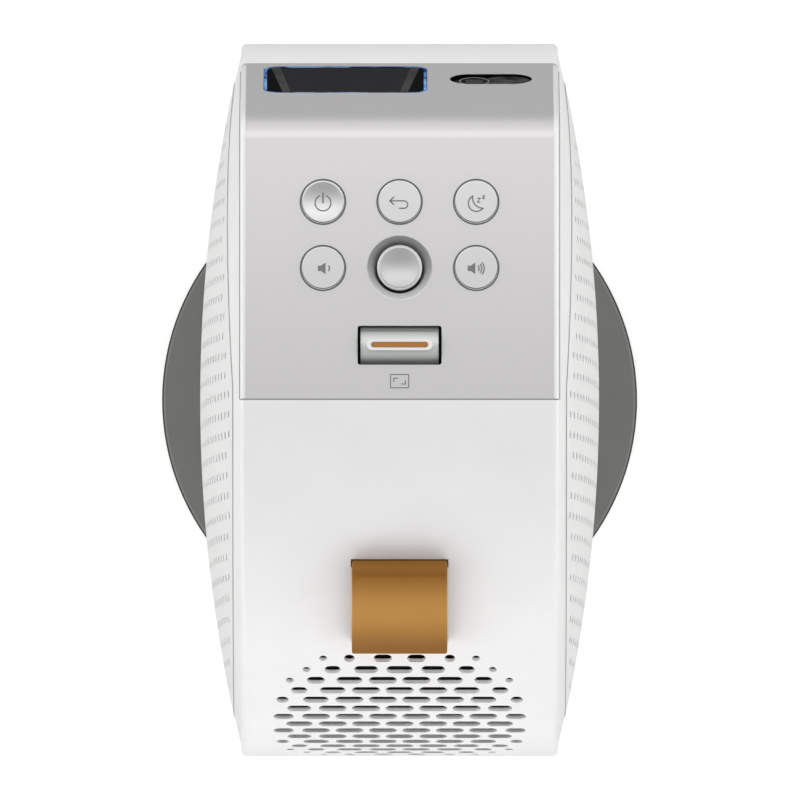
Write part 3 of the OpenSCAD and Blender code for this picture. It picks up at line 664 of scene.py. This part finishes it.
DISH_R = 5.9
DISH = 0.9
dish_ball = (DISH_R ** 2 + DISH ** 2) / (2 * DISH)

power = bmesh.new()
arc(power, (0, -0.3), 2.35, 112, 428)
bar(power, (0, -0.35), (0, 2.8), 0.45)
ink(power, "power_sign", "power_key", sign_place(KEY_PITCH, ROW_FAR),
    lambda x, y: dish_ball - DISH - sqrt(dish_ball ** 2 - x * x - y * y))

back = bmesh.new()
bar(back, (-2.9, 0.26), (1.3, 0.26))
arc(back, (1.3, -0.85), 1.11, 90, -90)
bar(back, (1.3, -1.96), (-0.15, -1.96))
bar(back, (-2.95, 0.2), (-1.6, 1.5))
bar(back, (-2.95, 0.32), (-1.6, -0.95))
ink(back, "back_sign", "back_key", sign_place(0, ROW_FAR))

sleep = bmesh.new()
arc(sleep, (0.05, -0.5), 2.4, 113, 326)
arc(sleep, (2.05, 1.2), 3.15, 168, 274)
for left, low, wide, high in ((0.3, -0.15, 0.95, 1.2), (1.8, 0.95, 0.8, 0.8)):
    bar(sleep, (left, low + high), (left + wide, low + high), 0.34)
    bar(sleep, (left + wide, low + high), (left, low), 0.3)
    bar(sleep, (left, low), (left + wide, low), 0.3)
ink(sleep, "sleep_sign", "sleep_key", sign_place(-KEY_PITCH, ROW_FAR))


def speaker_sign(name, body, x, waves):
    """A loudspeaker, 2.27 mm long without its waves."""
    shape = bmesh.new()
    left = -2.55 if waves == 3 else -1.5
    patch(shape, [(left, -0.8), (left + 0.9, -0.8), (left + 0.9, 0.8), (left, 0.8)])
    patch(shape, [(left + 0.92, -0.8), (left + 2.27, -1.75), (left + 2.27, 1.75),
                  (left + 0.92, 0.8)])
    for wave in range(waves):
        arc(shape, (left + 2.13, 0), 1.28 + 0.76 * wave, -41, 41, 0.42)
    return ink(shape, name, body, sign_place(x, ROW_NEAR) @ shift(0, -0.15, 0))


speaker_sign("volume_down_sign", "volume_down_key", KEY_PITCH, 1)
speaker_sign("volume_up_sign", "volume_up_key", -KEY_PITCH, 3)

zoom = bmesh.new()
frame_corners = ((-2.7, 2), (2.7, 2), (2.7, -2), (-2.7, -2))
for start, end in zip(frame_corners, frame_corners[1:] + frame_corners[:1]):
    bar(zoom, start, end, 0.3)
for turn in (1, -1):
    bar(zoom, (-1.72 * turn, -0.25 * turn), (-1.72 * turn, 1.0 * turn), 0.3)
    bar(zoom, (-1.86 * turn, 0.87 * turn), (-0.45 * turn, 0.87 * turn), 0.3)
ink(zoom, "zoom_sign", "drum", sign_place(0, 5.65, 0))

# %% [markdown]
# ## Painted shade in gaps, and the bowl's lining
# Fine grey rings fill the gaps round the keys and show as soft grey lines: painted shade of the gaps.
# The flank of each key is painted darker towards its rear: painted shade where the key's shadow falls.
# Lips with the rocker's own paint close the gaps before and behind it, and dark strips those at its
# ends: painted shade of the window's walls. The joystick sits in a lining that is shallower than the cut
# in the panel, so that its wall catches the light; its paint is darker at the front and lighter at the
# rear, painted shade and painted light. Each is a short profile, spun round the key or the pin.

# %% Rings of painted shade in the gaps round the keys
KEY_R = 6.5
KEY_HOLE_R = 6.95
RING_STEPS = 72
KEYS = {"power": (KEY_PITCH, ROW_FAR), "back": (0, ROW_FAR), "sleep": (-KEY_PITCH, ROW_FAR),
        "volume_down": (KEY_PITCH, ROW_NEAR), "volume_up": (-KEY_PITCH, ROW_NEAR)}


def ring(shape, profile, place):
    """Spins a closed outline of (radius, height) points round Z, at a place."""
    before = set(shape.verts)
    verts = [shape.verts.new((r, 0, h)) for r, h in profile]
    edges = [shape.edges.new(pair) for pair in zip(verts, verts[1:] + verts[:1])]
    bmesh.ops.spin(shape, geom=verts + edges, cent=(0, 0, 0), axis=(0, 0, 1), angle=2 * pi,
                   steps=RING_STEPS, use_merge=True)
    bmesh.ops.transform(shape, matrix=place, verts=[v for v in shape.verts if v not in before])


key_gap_shade = bmesh.new()
for x, s in KEYS.values():
    ring(key_gap_shade, [(KEY_R + 0.06, -0.5), (KEY_HOLE_R - 0.02, -0.5), (KEY_HOLE_R - 0.02, -0.04),
                     (KEY_R + 0.06, -0.2)], on_top(x, s))
# Painted shade: grey rings where the key gaps fall into shade
piece(key_gap_shade, "key_gap_painted_shade", key_gap_shade_rubber, "drum")

# %% Painted shade on each key's flank, widest at its rear where its shadow falls
KEY_ROUND = 0.4
FLANK_FRONT, FLANK_REAR = 0.1, 0.48
FLANK_MID = 6.35
FLANK_INNER = 6.2


def key_height(r):
    """The top of a key's cap, with its round edge, r from its middle."""
    return KEY_RISE - KEY_ROUND + sqrt(max(0, KEY_ROUND ** 2 - max(0, r - KEY_R + KEY_ROUND) ** 2))


for name, (x, s) in KEYS.items():
    flank = bmesh.new()
    ring(flank, [(KEY_R + 0.02, 0.03), (KEY_R + 0.02, 0.08), (FLANK_MID, 0), (FLANK_INNER, 0),
                 (FLANK_INNER, -0.06), (FLANK_MID, -0.06)], Matrix.Identity(4))
    # The inner points are drawn to the cap's round edge, further in towards the rear
    for vert in flank.verts:
        r = vert.co.xy.length
        if r > KEY_R:
            continue
        wide = FLANK_FRONT + (FLANK_REAR - FLANK_FRONT) * max(0, 0.5 + 0.5 * vert.co.y / r) ** 1.6
        back = wide * (1 if r < (FLANK_INNER + FLANK_MID) / 2 else 0.45)
        low = -0.03 if vert.co.z < -0.01 else 0.025
        vert.co.xy *= (KEY_R - back) / r
        vert.co.z = key_height(KEY_R - back) + low
    # Painted shade: a dark crescent on the cap's edge, widest at the rear
    piece(flank, name + "_key_painted_shade", painted_key_shade, name + "_key", on_top(x, s))

# %% Lining of the joystick's bowl
BOWL_R, BOWL_FOOT_R, BOWL_DEPTH = 9.46, 7.55, 1.45
BOWL_SHEAR = 0.4
bowl = bmesh.new()
ring(bowl, [(BOWL_R + 0.28, 0.01), (BOWL_R + 0.2, 0.07), (BOWL_R, 0.02), (8.8, -0.53), (8.2, -0.97),
            (BOWL_FOOT_R, -BOWL_DEPTH), (BOWL_FOOT_R, -BOWL_DEPTH - 0.2), (BOWL_R - 0.2, -0.4),
            (BOWL_R, -0.05)], Matrix.Identity(4))
for vert in bowl.verts:
    if vert.co.z < -1:
        vert.co.z += BOWL_SHEAR * vert.co.y / BOWL_FOOT_R
bowl.transform(on_top(0, ROW_NEAR))
# Painted shade and painted light: the lining's paint is dark on its front wall and light on its rear
piece(bowl, "bowl_lining", bowl_silver, "drum")

# %% Rocker lips and end strips, with painted shade, and cap
ROCKER_AT = 16.4
ROCKER_R = 7
ROCKER_DEPTH = 6.2
ROCKER_HALF = 12.45
ROCKER_END_SHADE = 0.82
RIB_OUTER, RIB_INNER = (19.6, 3.2), (17, 1.7)
RIB_RISE, RIB_T = 0.804, 0.02


def lip(shape, left, right, start, end, gap=0.1, thick=0.12):
    """A curved strip that hugs the roller, with angles counted forward from its top."""
    place = on_top(0, ROCKER_AT, -ROCKER_DEPTH)
    before = set(shape.verts)
    low, high = ROCKER_R + gap, ROCKER_R + gap + thick
    corners = ((left, low), (right, low), (right, high), (left, high))
    verts = [shape.verts.new((x, 0, h)) for x, h in corners]
    face = shape.faces.new(verts)
    bmesh.ops.rotate(shape, verts=verts, cent=(0, 0, 0), matrix=Matrix.Rotation(radians(start), 3, "X"))
    bmesh.ops.spin(shape, geom=[face], cent=(0, 0, 0), axis=(1, 0, 0), angle=radians(end - start),
                   steps=max(3, int(abs(end - start) / 4)), use_merge=False)
    bmesh.ops.transform(shape, matrix=place, verts=[v for v in shape.verts if v not in before])


# Painted shade: lips in the faded rocker paint, dark where the window's walls shade the roller
lips = bmesh.new()
lip(lips, -ROCKER_HALF, ROCKER_HALF, 38, 55)
lip(lips, -ROCKER_HALF, ROCKER_HALF, -44, -55)
piece(lips, "rocker_painted_shade_lips", rocker_silver, "drum")
# Painted shade: black strips in the gaps at the roller's two ends
ends = bmesh.new()
for side in (-1, 1):
    lip(ends, side * ROCKER_HALF, side * (ROCKER_HALF - ROCKER_END_SHADE), -54, 54, 0.24)
piece(ends, "rocker_end_painted_shade", black_print, "drum")


def stadium(shape, length, width, cap_ends=True):
    """A face, or an open loop, with two round ends."""
    verts = bmesh.ops.create_circle(shape, cap_ends=cap_ends, segments=32, radius=width / 2)["verts"]
    for vert in verts:
        vert.co.x += (length - width) / 2 * (1 if vert.co.x > 0 else -1)


def stadium_band(outer, inner, depth):
    """A closed band between two stadiums."""
    shape = bmesh.new()
    stadium(shape, *outer, False)
    stadium(shape, *inner, False)
    bmesh.ops.bridge_loops(shape, edges=shape.edges[:])
    thicken(shape, (0, 0, depth))
    return shape


piece(stadium_band(RIB_OUTER, RIB_INNER, RIB_T), "rocker_rib_cap", white_abs, "rocker",
      on_top(0, ROCKER_AT, -ROCKER_DEPTH + ROCKER_R + RIB_RISE))

# %% [markdown]
# ## Behind and round the glass
# The beam leaves through a funnel whose side walls lean in. What shows of it is a black print on
# each end of the glass, with a lighter slanted band: a painted reflection of the funnel's wall. The
# blue of the glass's ground rim is a painted reflection too. In the sensor's pill a ring frames the
# camera, and a grey filter covers the rest.

# %% Window print, and painted reflections on its rim and bands
WINDOW_AT = (16.2, 19.5)
WINDOW_SIZE = (48.6, 31.4)
WINDOW_CORNER = 4
GLASS_TOP = -0.2
RIM = 0.85
PRINT_T = 0.03


def rounded_plate(shape, width, height, corner):
    """A face with four round corners."""
    verts = bmesh.ops.create_circle(shape, cap_ends=True, segments=48, radius=corner)["verts"]
    for vert in verts:
        vert.co.x += (width / 2 - corner) * (1 if vert.co.x > 1e-4 else -1)
        vert.co.y += (height / 2 - corner) * (1 if vert.co.y > 1e-4 else -1)
    return verts[0].link_faces[0]


# Painted reflection: the rim is printed in light blue and navy
window_rim_painted_reflection = bmesh.new()
make_hole(window_rim_painted_reflection, rounded_plate(window_rim_painted_reflection, *WINDOW_SIZE, WINDOW_CORNER), RIM)
thicken(window_rim_painted_reflection, (0, 0, 0.1))
on_glass = on_face(*WINDOW_AT, GLASS_TOP + 0.01)
piece(window_rim_painted_reflection, "window_rim_painted_reflection", painted_blue_reflection, "drum", on_glass)


def print_zone(name, material, inner, outer):
    """The part of the glass between two slanted lines, on both ends; each is (x low, x high)."""
    shape = bmesh.new()
    width, height = (size - 2 * RIM - 0.1 for size in WINDOW_SIZE)
    rounded_plate(shape, width, height, WINDOW_CORNER - RIM)
    half = WINDOW_SIZE[1] / 2
    keep = bmesh.new()
    for side in (1, -1):
        part = shape.copy()
        for line, clear_outer in ((inner, False), (outer, True)):
            if line is None:
                continue
            low, high = Vector((side * line[0], -half, 0)), Vector((side * line[1], half, 0))
            normal = Vector(((high - low).y, -(high - low).x, 0)) * side
            cut_sheet(part, low, normal, clear_outer)
        scratch = bpy.data.meshes.new("zone")
        part.to_mesh(scratch)
        part.free()
        keep.from_mesh(scratch)
        bpy.data.meshes.remove(scratch)
    shape.free()
    thicken(keep, (0, 0, PRINT_T))
    piece(keep, name, material, "drum", on_glass)


BAND_IN, BAND_OUT = (19.6, 16.2), (22.3, 18.5)
print_zone("window_edge_print", black_print, BAND_OUT, None)
# Painted reflection: lighter slanted bands between the black print and the clear glass
print_zone("window_painted_reflection_bands", grey_ink_and_painted_reflection, BAND_IN, BAND_OUT)

# %% Sensor pill
SENSOR_AT = (-27.3, 18.95)
CAMERA_AT = (-22.3, 18.95)
FILTER_AT = (-32.3, 18.95)
PILL_TOP = -0.8
PILL_OUTER, PILL_INNER, PILL_DEPTH = (24.52, 11.92), (24.2, 11.6), 0.7
CAMERA_RING = (4.15, 4.55, 0.12)
DIAL_SIZE, DIAL_CORNER = (5.2, 4.6), 1.2
FILTER_SIZE = (14.2, 11.4)

camera_ring = bmesh.new()
low, high, up = CAMERA_RING
on_camera = on_face(*CAMERA_AT, PILL_TOP + 0.01)
ring(camera_ring, [(low, 0), (high, 0), (high, up), (low, up)], on_camera)
piece(camera_ring, "camera_ring", ring_grey, "drum")
piece(stadium_band(PILL_OUTER, PILL_INNER, PILL_DEPTH), "sensor_pill_lining", black_print, "drum",
      on_face(*SENSOR_AT, PILL_TOP + 0.02))
camera_dial = bmesh.new()
rounded_plate(camera_dial, *DIAL_SIZE, DIAL_CORNER)
thicken(camera_dial, (0, 0, PRINT_T))
piece(camera_dial, "camera_dial", grey_ink_and_painted_reflection, "drum", on_camera)
sensor_filter = bmesh.new()
stadium(sensor_filter, *FILTER_SIZE)
thicken(sensor_filter, (0, 0, PRINT_T))
piece(sensor_filter, "sensor_filter", filter_grey, "drum",
      on_face(*FILTER_AT, PILL_TOP + 0.005))

# %% [markdown]
# ## Base edge and strap slots
# A fine dark ring runs round the base disc where its wall turns under: painted shade of that wall.
# A black strip lines the strap's front slot, painted shade of the slot, and white blocks close the ends
# of its rear slot.

# %% Painted shade at the base's edge
BASE_R = 72.1
BASE_TOP = 10.7
base_shade_edge = bmesh.new()
ring(base_shade_edge, [(BASE_R, BASE_TOP - 0.9), (BASE_R, BASE_TOP - 0.74), (BASE_R - 0.42, BASE_TOP - 0.38),
                 (BASE_R - 0.6, BASE_TOP - 0.4)], Matrix.Rotation(pi / RING_STEPS, 4, "Z"))
# Painted shade: a black ring on the disc's edge, where its wall is in shade
piece(base_shade_edge, "base_shade_edge", black_abs, "base")

# %% Painted shade in the strap's front slot
SLOT_SHADE_SIZE, SLOT_SHADE_CORNER, SLOT_SHADE_WIDTH = (28.9, 2.7), 0.9, 0.3
slot_shade = bmesh.new()
make_hole(slot_shade, rounded_plate(slot_shade, *SLOT_SHADE_SIZE, SLOT_SHADE_CORNER), SLOT_SHADE_WIDTH)
thicken(slot_shade, (0, 0, 0.08))
# Painted shade: a black strip where the slot falls into shadow
piece(slot_shade, "strap_slot_painted_shade", black_rubber, "drum",
      on_rear(STRAP_FROM, 0, 0.02) @ shift(0, STRAP_T / 2 - STRAP_BEND, 0))

# %% Ends of the strap's rear slot
BLOCK_SIZE = (0.24, STRAP_T + 0.5, 1.6)
BLOCK_SUNK = 0.86
slot_ends = bmesh.new()
for side in (1, -1):
    block = bmesh.ops.create_cube(slot_ends, size=1)["verts"]
    bmesh.ops.scale(slot_ends, verts=block, vec=BLOCK_SIZE)
    moved(slot_ends, block, (side * (STRAP_HALF + 0.16), 0, -BLOCK_SUNK))
piece(slot_ends, "strap_slot_ends", white_abs, "drum",
      on_rear(STRAP_TO, 0) @ shift(0, STRAP_BEND - STRAP_T / 2, 0))

# %% [markdown]
# ## Vent slots
# The lower wall of each slot is chamfered, so that it catches the light. The chamfer fades out in
# the ninth row, where the wall turns to face the light by itself. The slots follow the rows of the
# shell: 15 rows on the round rear, each shifted by half a pitch against the next.

# %% Chamfers of the vent slots
VENT_ROWS, VENT_START, VENT_STEP, VENT_PITCH = 15, 46.1, 2.68, 10
SLOT_LENGTH, SLOT_WIDTH = 8.4, 3.3
CHAMFERED_ROWS = 9
CHAMFER_IN, CHAMFER_DOWN = 0.58, 0.88
SKIN = 0.03
ROW_EDGE, ROW_GROWTH, WIDEST_EDGE = 24, 5, 37.7


def tenths(value):
    """Rounded as the shell's own slots are."""
    return int(10 * value + 0.5) / 10


def slot_length(near, x):
    """Slots get shorter towards the rim of the patch; near counts rows from its top or bottom."""
    slant = max(0, 1 - (ROW_EDGE + ROW_GROWTH * near - x) / 28.3)
    side = max(0, 1 - (WIDEST_EDGE - x) / 14)
    rim = max(0, 1 - near / 2)
    return tenths(max(2.4, SLOT_LENGTH - 6.5 * slant ** 2 - 2.5 * side ** 2 - 2.2 * rim ** 2))


def chamfer(shape, length, size, place):
    """A wedge along the lower half of a slot's outline, three points for each step round it."""
    inward, down = CHAMFER_IN * size, CHAMFER_DOWN * (0.6 + 0.4 * size)
    half = (length - SLOT_WIDTH) / 2 if length > SLOT_WIDTH + 0.3 else 0
    r = min(length, SLOT_WIDTH) / 2 if half else length / 2
    second_from = 90 if half else 106
    turns = [(a, half) for a in range(10, 91, 16)] + [(a, -half) for a in range(second_from, 171, 16)]
    rows = []
    for a, push in turns:
        c, s = cos(radians(a)), sin(radians(a))
        x, y = r * c + push, r * s
        top, foot = -SKIN, -SKIN - down * s
        rows.append([shape.verts.new(place @ Vector(at)) for at in (
            (x, y, top), (x, y - inward * s, foot), (x, y, foot))])
    for first, second in zip(rows, rows[1:]):
        for i in range(3):
            shape.faces.new((first[i], first[(i + 1) % 3], second[(i + 1) % 3], second[i]))
    shape.faces.new(rows[0])
    shape.faces.new(rows[-1][::-1])


chamfers = bmesh.new()
slots = 0
for row in range(CHAMFERED_ROWS):
    near = min(row, VENT_ROWS - 1 - row)
    edge = min(ROW_EDGE + ROW_GROWTH * near, WIDEST_EDGE)
    x = VENT_PITCH / 2 if row % 2 == 0 else 0
    while x <= edge + 1.2:
        length = slot_length(near, min(x, edge))
        at = min(x, tenths(edge - length / 2))
        for side in (1,) if x == 0 else (1, -1):
            place = on_rear(VENT_START + VENT_STEP * row, side * at)
            chamfer(chamfers, length, min(1, 1.5 - row / 6), place)
            slots += 1
        x += VENT_PITCH
print("chamfered slots:", slots)
piece(chamfers, "vent_chamfers", white_abs, "drum")

# %% [markdown]
# ## Seams
# A soft grey strip lies in the seam round the panel, and a darker one in the seam round each side
# cover: painted shade of the seams. The first is a small square outline that is drawn along the top,
# turned round the bend and drawn down the face, with a flat bar behind the panel. The second is the
# outer edge of the cover's own outline. The panel's rounded edge is drawn the same way as its strip.

# %% Painted shade in the panel's seam
BEND_R = 9
top_d = DRUM_R * cos(radians(TOP_SLOPE)) - BEND_R
face_d = DRUM_R * cos(radians(FACE_SLOPE - LIP_ANGLE)) - BEND_R
top_a, face_a = radians(TOP_SLOPE), radians(FACE_SLOPE)
bend_u = (face_d * cos(top_a) - top_d * cos(face_a)) / sin(face_a - top_a)
bend_w = (top_d * sin(face_a) - face_d * sin(top_a)) / sin(face_a - top_a)
lip_u, lip_w = DRUM_R * sin(radians(LIP_ANGLE)), DRUM_R * cos(radians(LIP_ANGLE))
top_run = bend_u * cos(top_a) - (bend_w - DRUM_R) * sin(top_a)
face_run = (lip_u - bend_u) * cos(face_a) + (bend_w - lip_w) * sin(face_a)
print("panel: flat top", round(top_run, 1), "mm, lens face", round(face_run, 1), "mm")


def sweep_panel(shape, side, corners):
    """Draws an outline of (x, height) points along the panel: top, bend and lens face."""
    start, end = on_top(0, SWEEP_FROM).translation, on_face(0, SWEEP_TO).translation
    outline = [shape.verts.new(on_top(side * x, SWEEP_FROM, h).translation) for x, h in corners]
    grown = bmesh.ops.extrude_face_region(shape, geom=[shape.faces.new(outline)])
    moved(shape, new_parts(grown), on_top(0, top_run).translation - start)
    first = new_parts(grown, "Face")
    grown = bmesh.ops.spin(shape, geom=first, cent=drum @ Vector((0, -bend_u, bend_w)), axis=(1, 0, 0),
                           angle=face_a - top_a, steps=10, use_merge=False)
    second = new_parts(grown, "Face", "geom_last")
    grown = bmesh.ops.extrude_face_region(shape, geom=second)
    moved(shape, new_parts(grown), end - on_face(0, face_run).translation)
    bmesh.ops.delete(shape, geom=first + second, context="FACES_ONLY")


SWEEP_FROM, SWEEP_TO = 0.5, 2.5
EDGE_R = 1.6
SEAM_SHADE_OUTLINE = ((47.3, -2.3), (47.78, -2.3), (47.78, -1.95), (47.3, -1.95))
REAR_BAR = (93.2, 0.44, 0.1)
edge_arc = [(cos(radians(a)), sin(radians(a))) for a in (10, 30, 50, 70, 90)]
edge_profile = [(PANEL_HALF - EDGE_R + r * c, r * s - EDGE_R)
                for r, points in ((EDGE_R + 0.03, edge_arc), (EDGE_R - 0.02, edge_arc[::-1]))
                for c, s in points]
trim, seam_shade = bmesh.new(), bmesh.new()
for side in (1, -1):
    sweep_panel(trim, side, edge_profile)
    sweep_panel(seam_shade, side, SEAM_SHADE_OUTLINE)
piece(trim, "panel_edges", edge_silver, "drum")
# Painted shade: a grey strip along the panel's seam, and a bar behind it
rear = bmesh.ops.create_cube(seam_shade, size=1)["verts"]
bmesh.ops.transform(seam_shade, matrix=on_top(0, 0.2, -0.27) @ Matrix.Diagonal((*REAR_BAR, 1)), verts=rear)
piece(seam_shade, "panel_seam_painted_shade", panel_seam_shade_rubber, "drum")


# %% Painted shade in the seams of the side covers
SEAM_OUT, SEAM_WIDTH = 0.1, 0.5
SEAM_T, SEAM_SUNK = 0.04, 0.01


def cover_seam_shade(side, name):
    shape = bmesh.new()
    bmesh.ops.create_grid(shape, x_segments=1, y_segments=1, size=COVER_SPAN)
    cut_outline(shape, -SEAM_OUT)
    make_hole(shape, shape.faces[:][0], SEAM_WIDTH)
    thicken(shape, (0, 0, SEAM_T))
    for vert in shape.verts:
        u, w, up = vert.co
        vert.co = (dome_height(u, w) + up - SEAM_SUNK, -u, w)
    bmesh.ops.scale(shape, verts=shape.verts, vec=(side, 1, 1))
    return piece(shape, name, cover_seam_shade_rubber, "drum", drum)


# Painted shade: a dark strip round each cover's seam
cover_seam_shade(1, "cover_seam_shade_left")
cover_seam_shade(-1, "cover_seam_shade_right")

# %% [markdown]
# ## Light
# The photograph is evenly lit, with no hard shadow: a light tent whose bright sides stand left and
# right, a softbox above the front that makes the flat panel fade towards the rear, one in front
# for the lens face, and one behind that lifts the rear wall. The world stands for the tent.

# %% World
SIDE_LIGHT = 3.88
BEHIND_LIGHT = 0.41
BEHIND_WAY = (0.82, 0.57)
BEHIND_FOCUS = 10
AMBIENT_LIGHT = 0.14


def tent():
    """Light from both sides near the horizon, a soft patch high behind, and a little all round."""
    world = bpy.data.worlds.new("light_tent")
    bpy.context.scene.world = world
    world.use_nodes = True
    sky = world.node_tree

    def calc(operation, *values):
        made = sky.nodes.new("ShaderNodeMath")
        made.operation = operation
        for place, value in zip(made.inputs, values):
            if isinstance(value, (int, float)):
                place.default_value = value
            else:
                sky.links.new(value, place)
        return made.outputs["Value"]

    way = add(sky, "SeparateXYZ", {"Vector": add(sky, "TexCoord").outputs["Generated"]})
    x, y, z = (way.outputs[k] for k in "XYZ")
    low = calc("POWER", calc("SUBTRACT", 1, calc("ABSOLUTE", z)), 2)
    sides = calc("MULTIPLY", calc("MULTIPLY", low, calc("ABSOLUTE", x)), SIDE_LIGHT)
    behind = calc("ADD", calc("MULTIPLY", z, BEHIND_WAY[1]), calc("MULTIPLY", y, BEHIND_WAY[0]))
    behind = calc("MULTIPLY", calc("POWER", calc("MAXIMUM", behind, 0), BEHIND_FOCUS), BEHIND_LIGHT)
    total = calc("ADD", calc("ADD", sides, behind), AMBIENT_LIGHT)
    seen = add(sky, "LightPath").outputs["Is Camera Ray"]
    strength = add(sky, "Mix", {"Factor": seen, "A": total}, data_type="FLOAT")
    strength.inputs["B"].default_value = 1
    backdrop = sky.nodes["Background"]
    backdrop.inputs["Color"].default_value = (1, 1, 1, 1)
    sky.links.new(strength.outputs["Result"], backdrop.inputs["Strength"])


tent()

# %% Lamps


def softbox(name, place, aim, size, watts):
    """A rectangular lamp, aimed at a point; places and sizes are in metres."""
    lamp = bpy.data.objects.new(name, bpy.data.lights.new(name, "AREA"))
    lamp.data.shape = "RECTANGLE"
    lamp.data.size, lamp.data.size_y = size
    lamp.data.energy = watts
    lamp.location = place
    lamp.rotation_euler = (Vector(aim) - Vector(place)).to_track_quat("-Z", "Y").to_euler()
    lamp.visible_camera = False
    bpy.context.collection.objects.link(lamp)


softbox("top_softbox", (0, -0.32, 0.72), (0, -0.1, 0.2), (0.8, 0.3), 1.52)
softbox("front_softbox", (0, -0.6, 0.45), (0, -0.06, 0.18), (0.8, 0.3), 0.42)
softbox("rear_softbox", (0, 0.6, 0.3), (0, 0.06, 0.18), (0.8, 0.3), 1.33)

# %% [markdown]
# The table is grey paper to the light, so that the silver sees a grey floor below it. To the camera
# it is lifted to white, and still takes a faint shadow.

# %% Floor
FLOOR_M = 6
FLOOR_GAP_M = 0.0002
FLOOR_LIFT = 0.72
floor_shape = bmesh.new()
bmesh.ops.create_grid(floor_shape, x_segments=1, y_segments=1, size=FLOOR_M)
floor_mesh = bpy.data.meshes.new("floor")
floor_shape.to_mesh(floor_mesh)
floor_shape.free()
floor = bpy.data.objects.new("floor", floor_mesh)
floor.location.z = -FLOOR_GAP_M
bpy.context.collection.objects.link(floor)
paper, paper_tree, paper_shader = new_material("floor_paper", "#BCBCBC", 0.9)
paper_rays = add(paper_tree, "LightPath")
lift = add(paper_tree, "Math", {0: paper_rays.outputs["Is Camera Ray"]}, operation="MULTIPLY")
lift.inputs[1].default_value = FLOOR_LIFT
paper_shader.inputs["Emission Color"].default_value = (1, 1, 1, 1)
paper_tree.links.new(lift.outputs["Value"], paper_shader.inputs["Emission Strength"])
floor_mesh.materials.append(paper)

# %% Colour management
bpy.context.scene.view_settings.view_transform = "Standard"
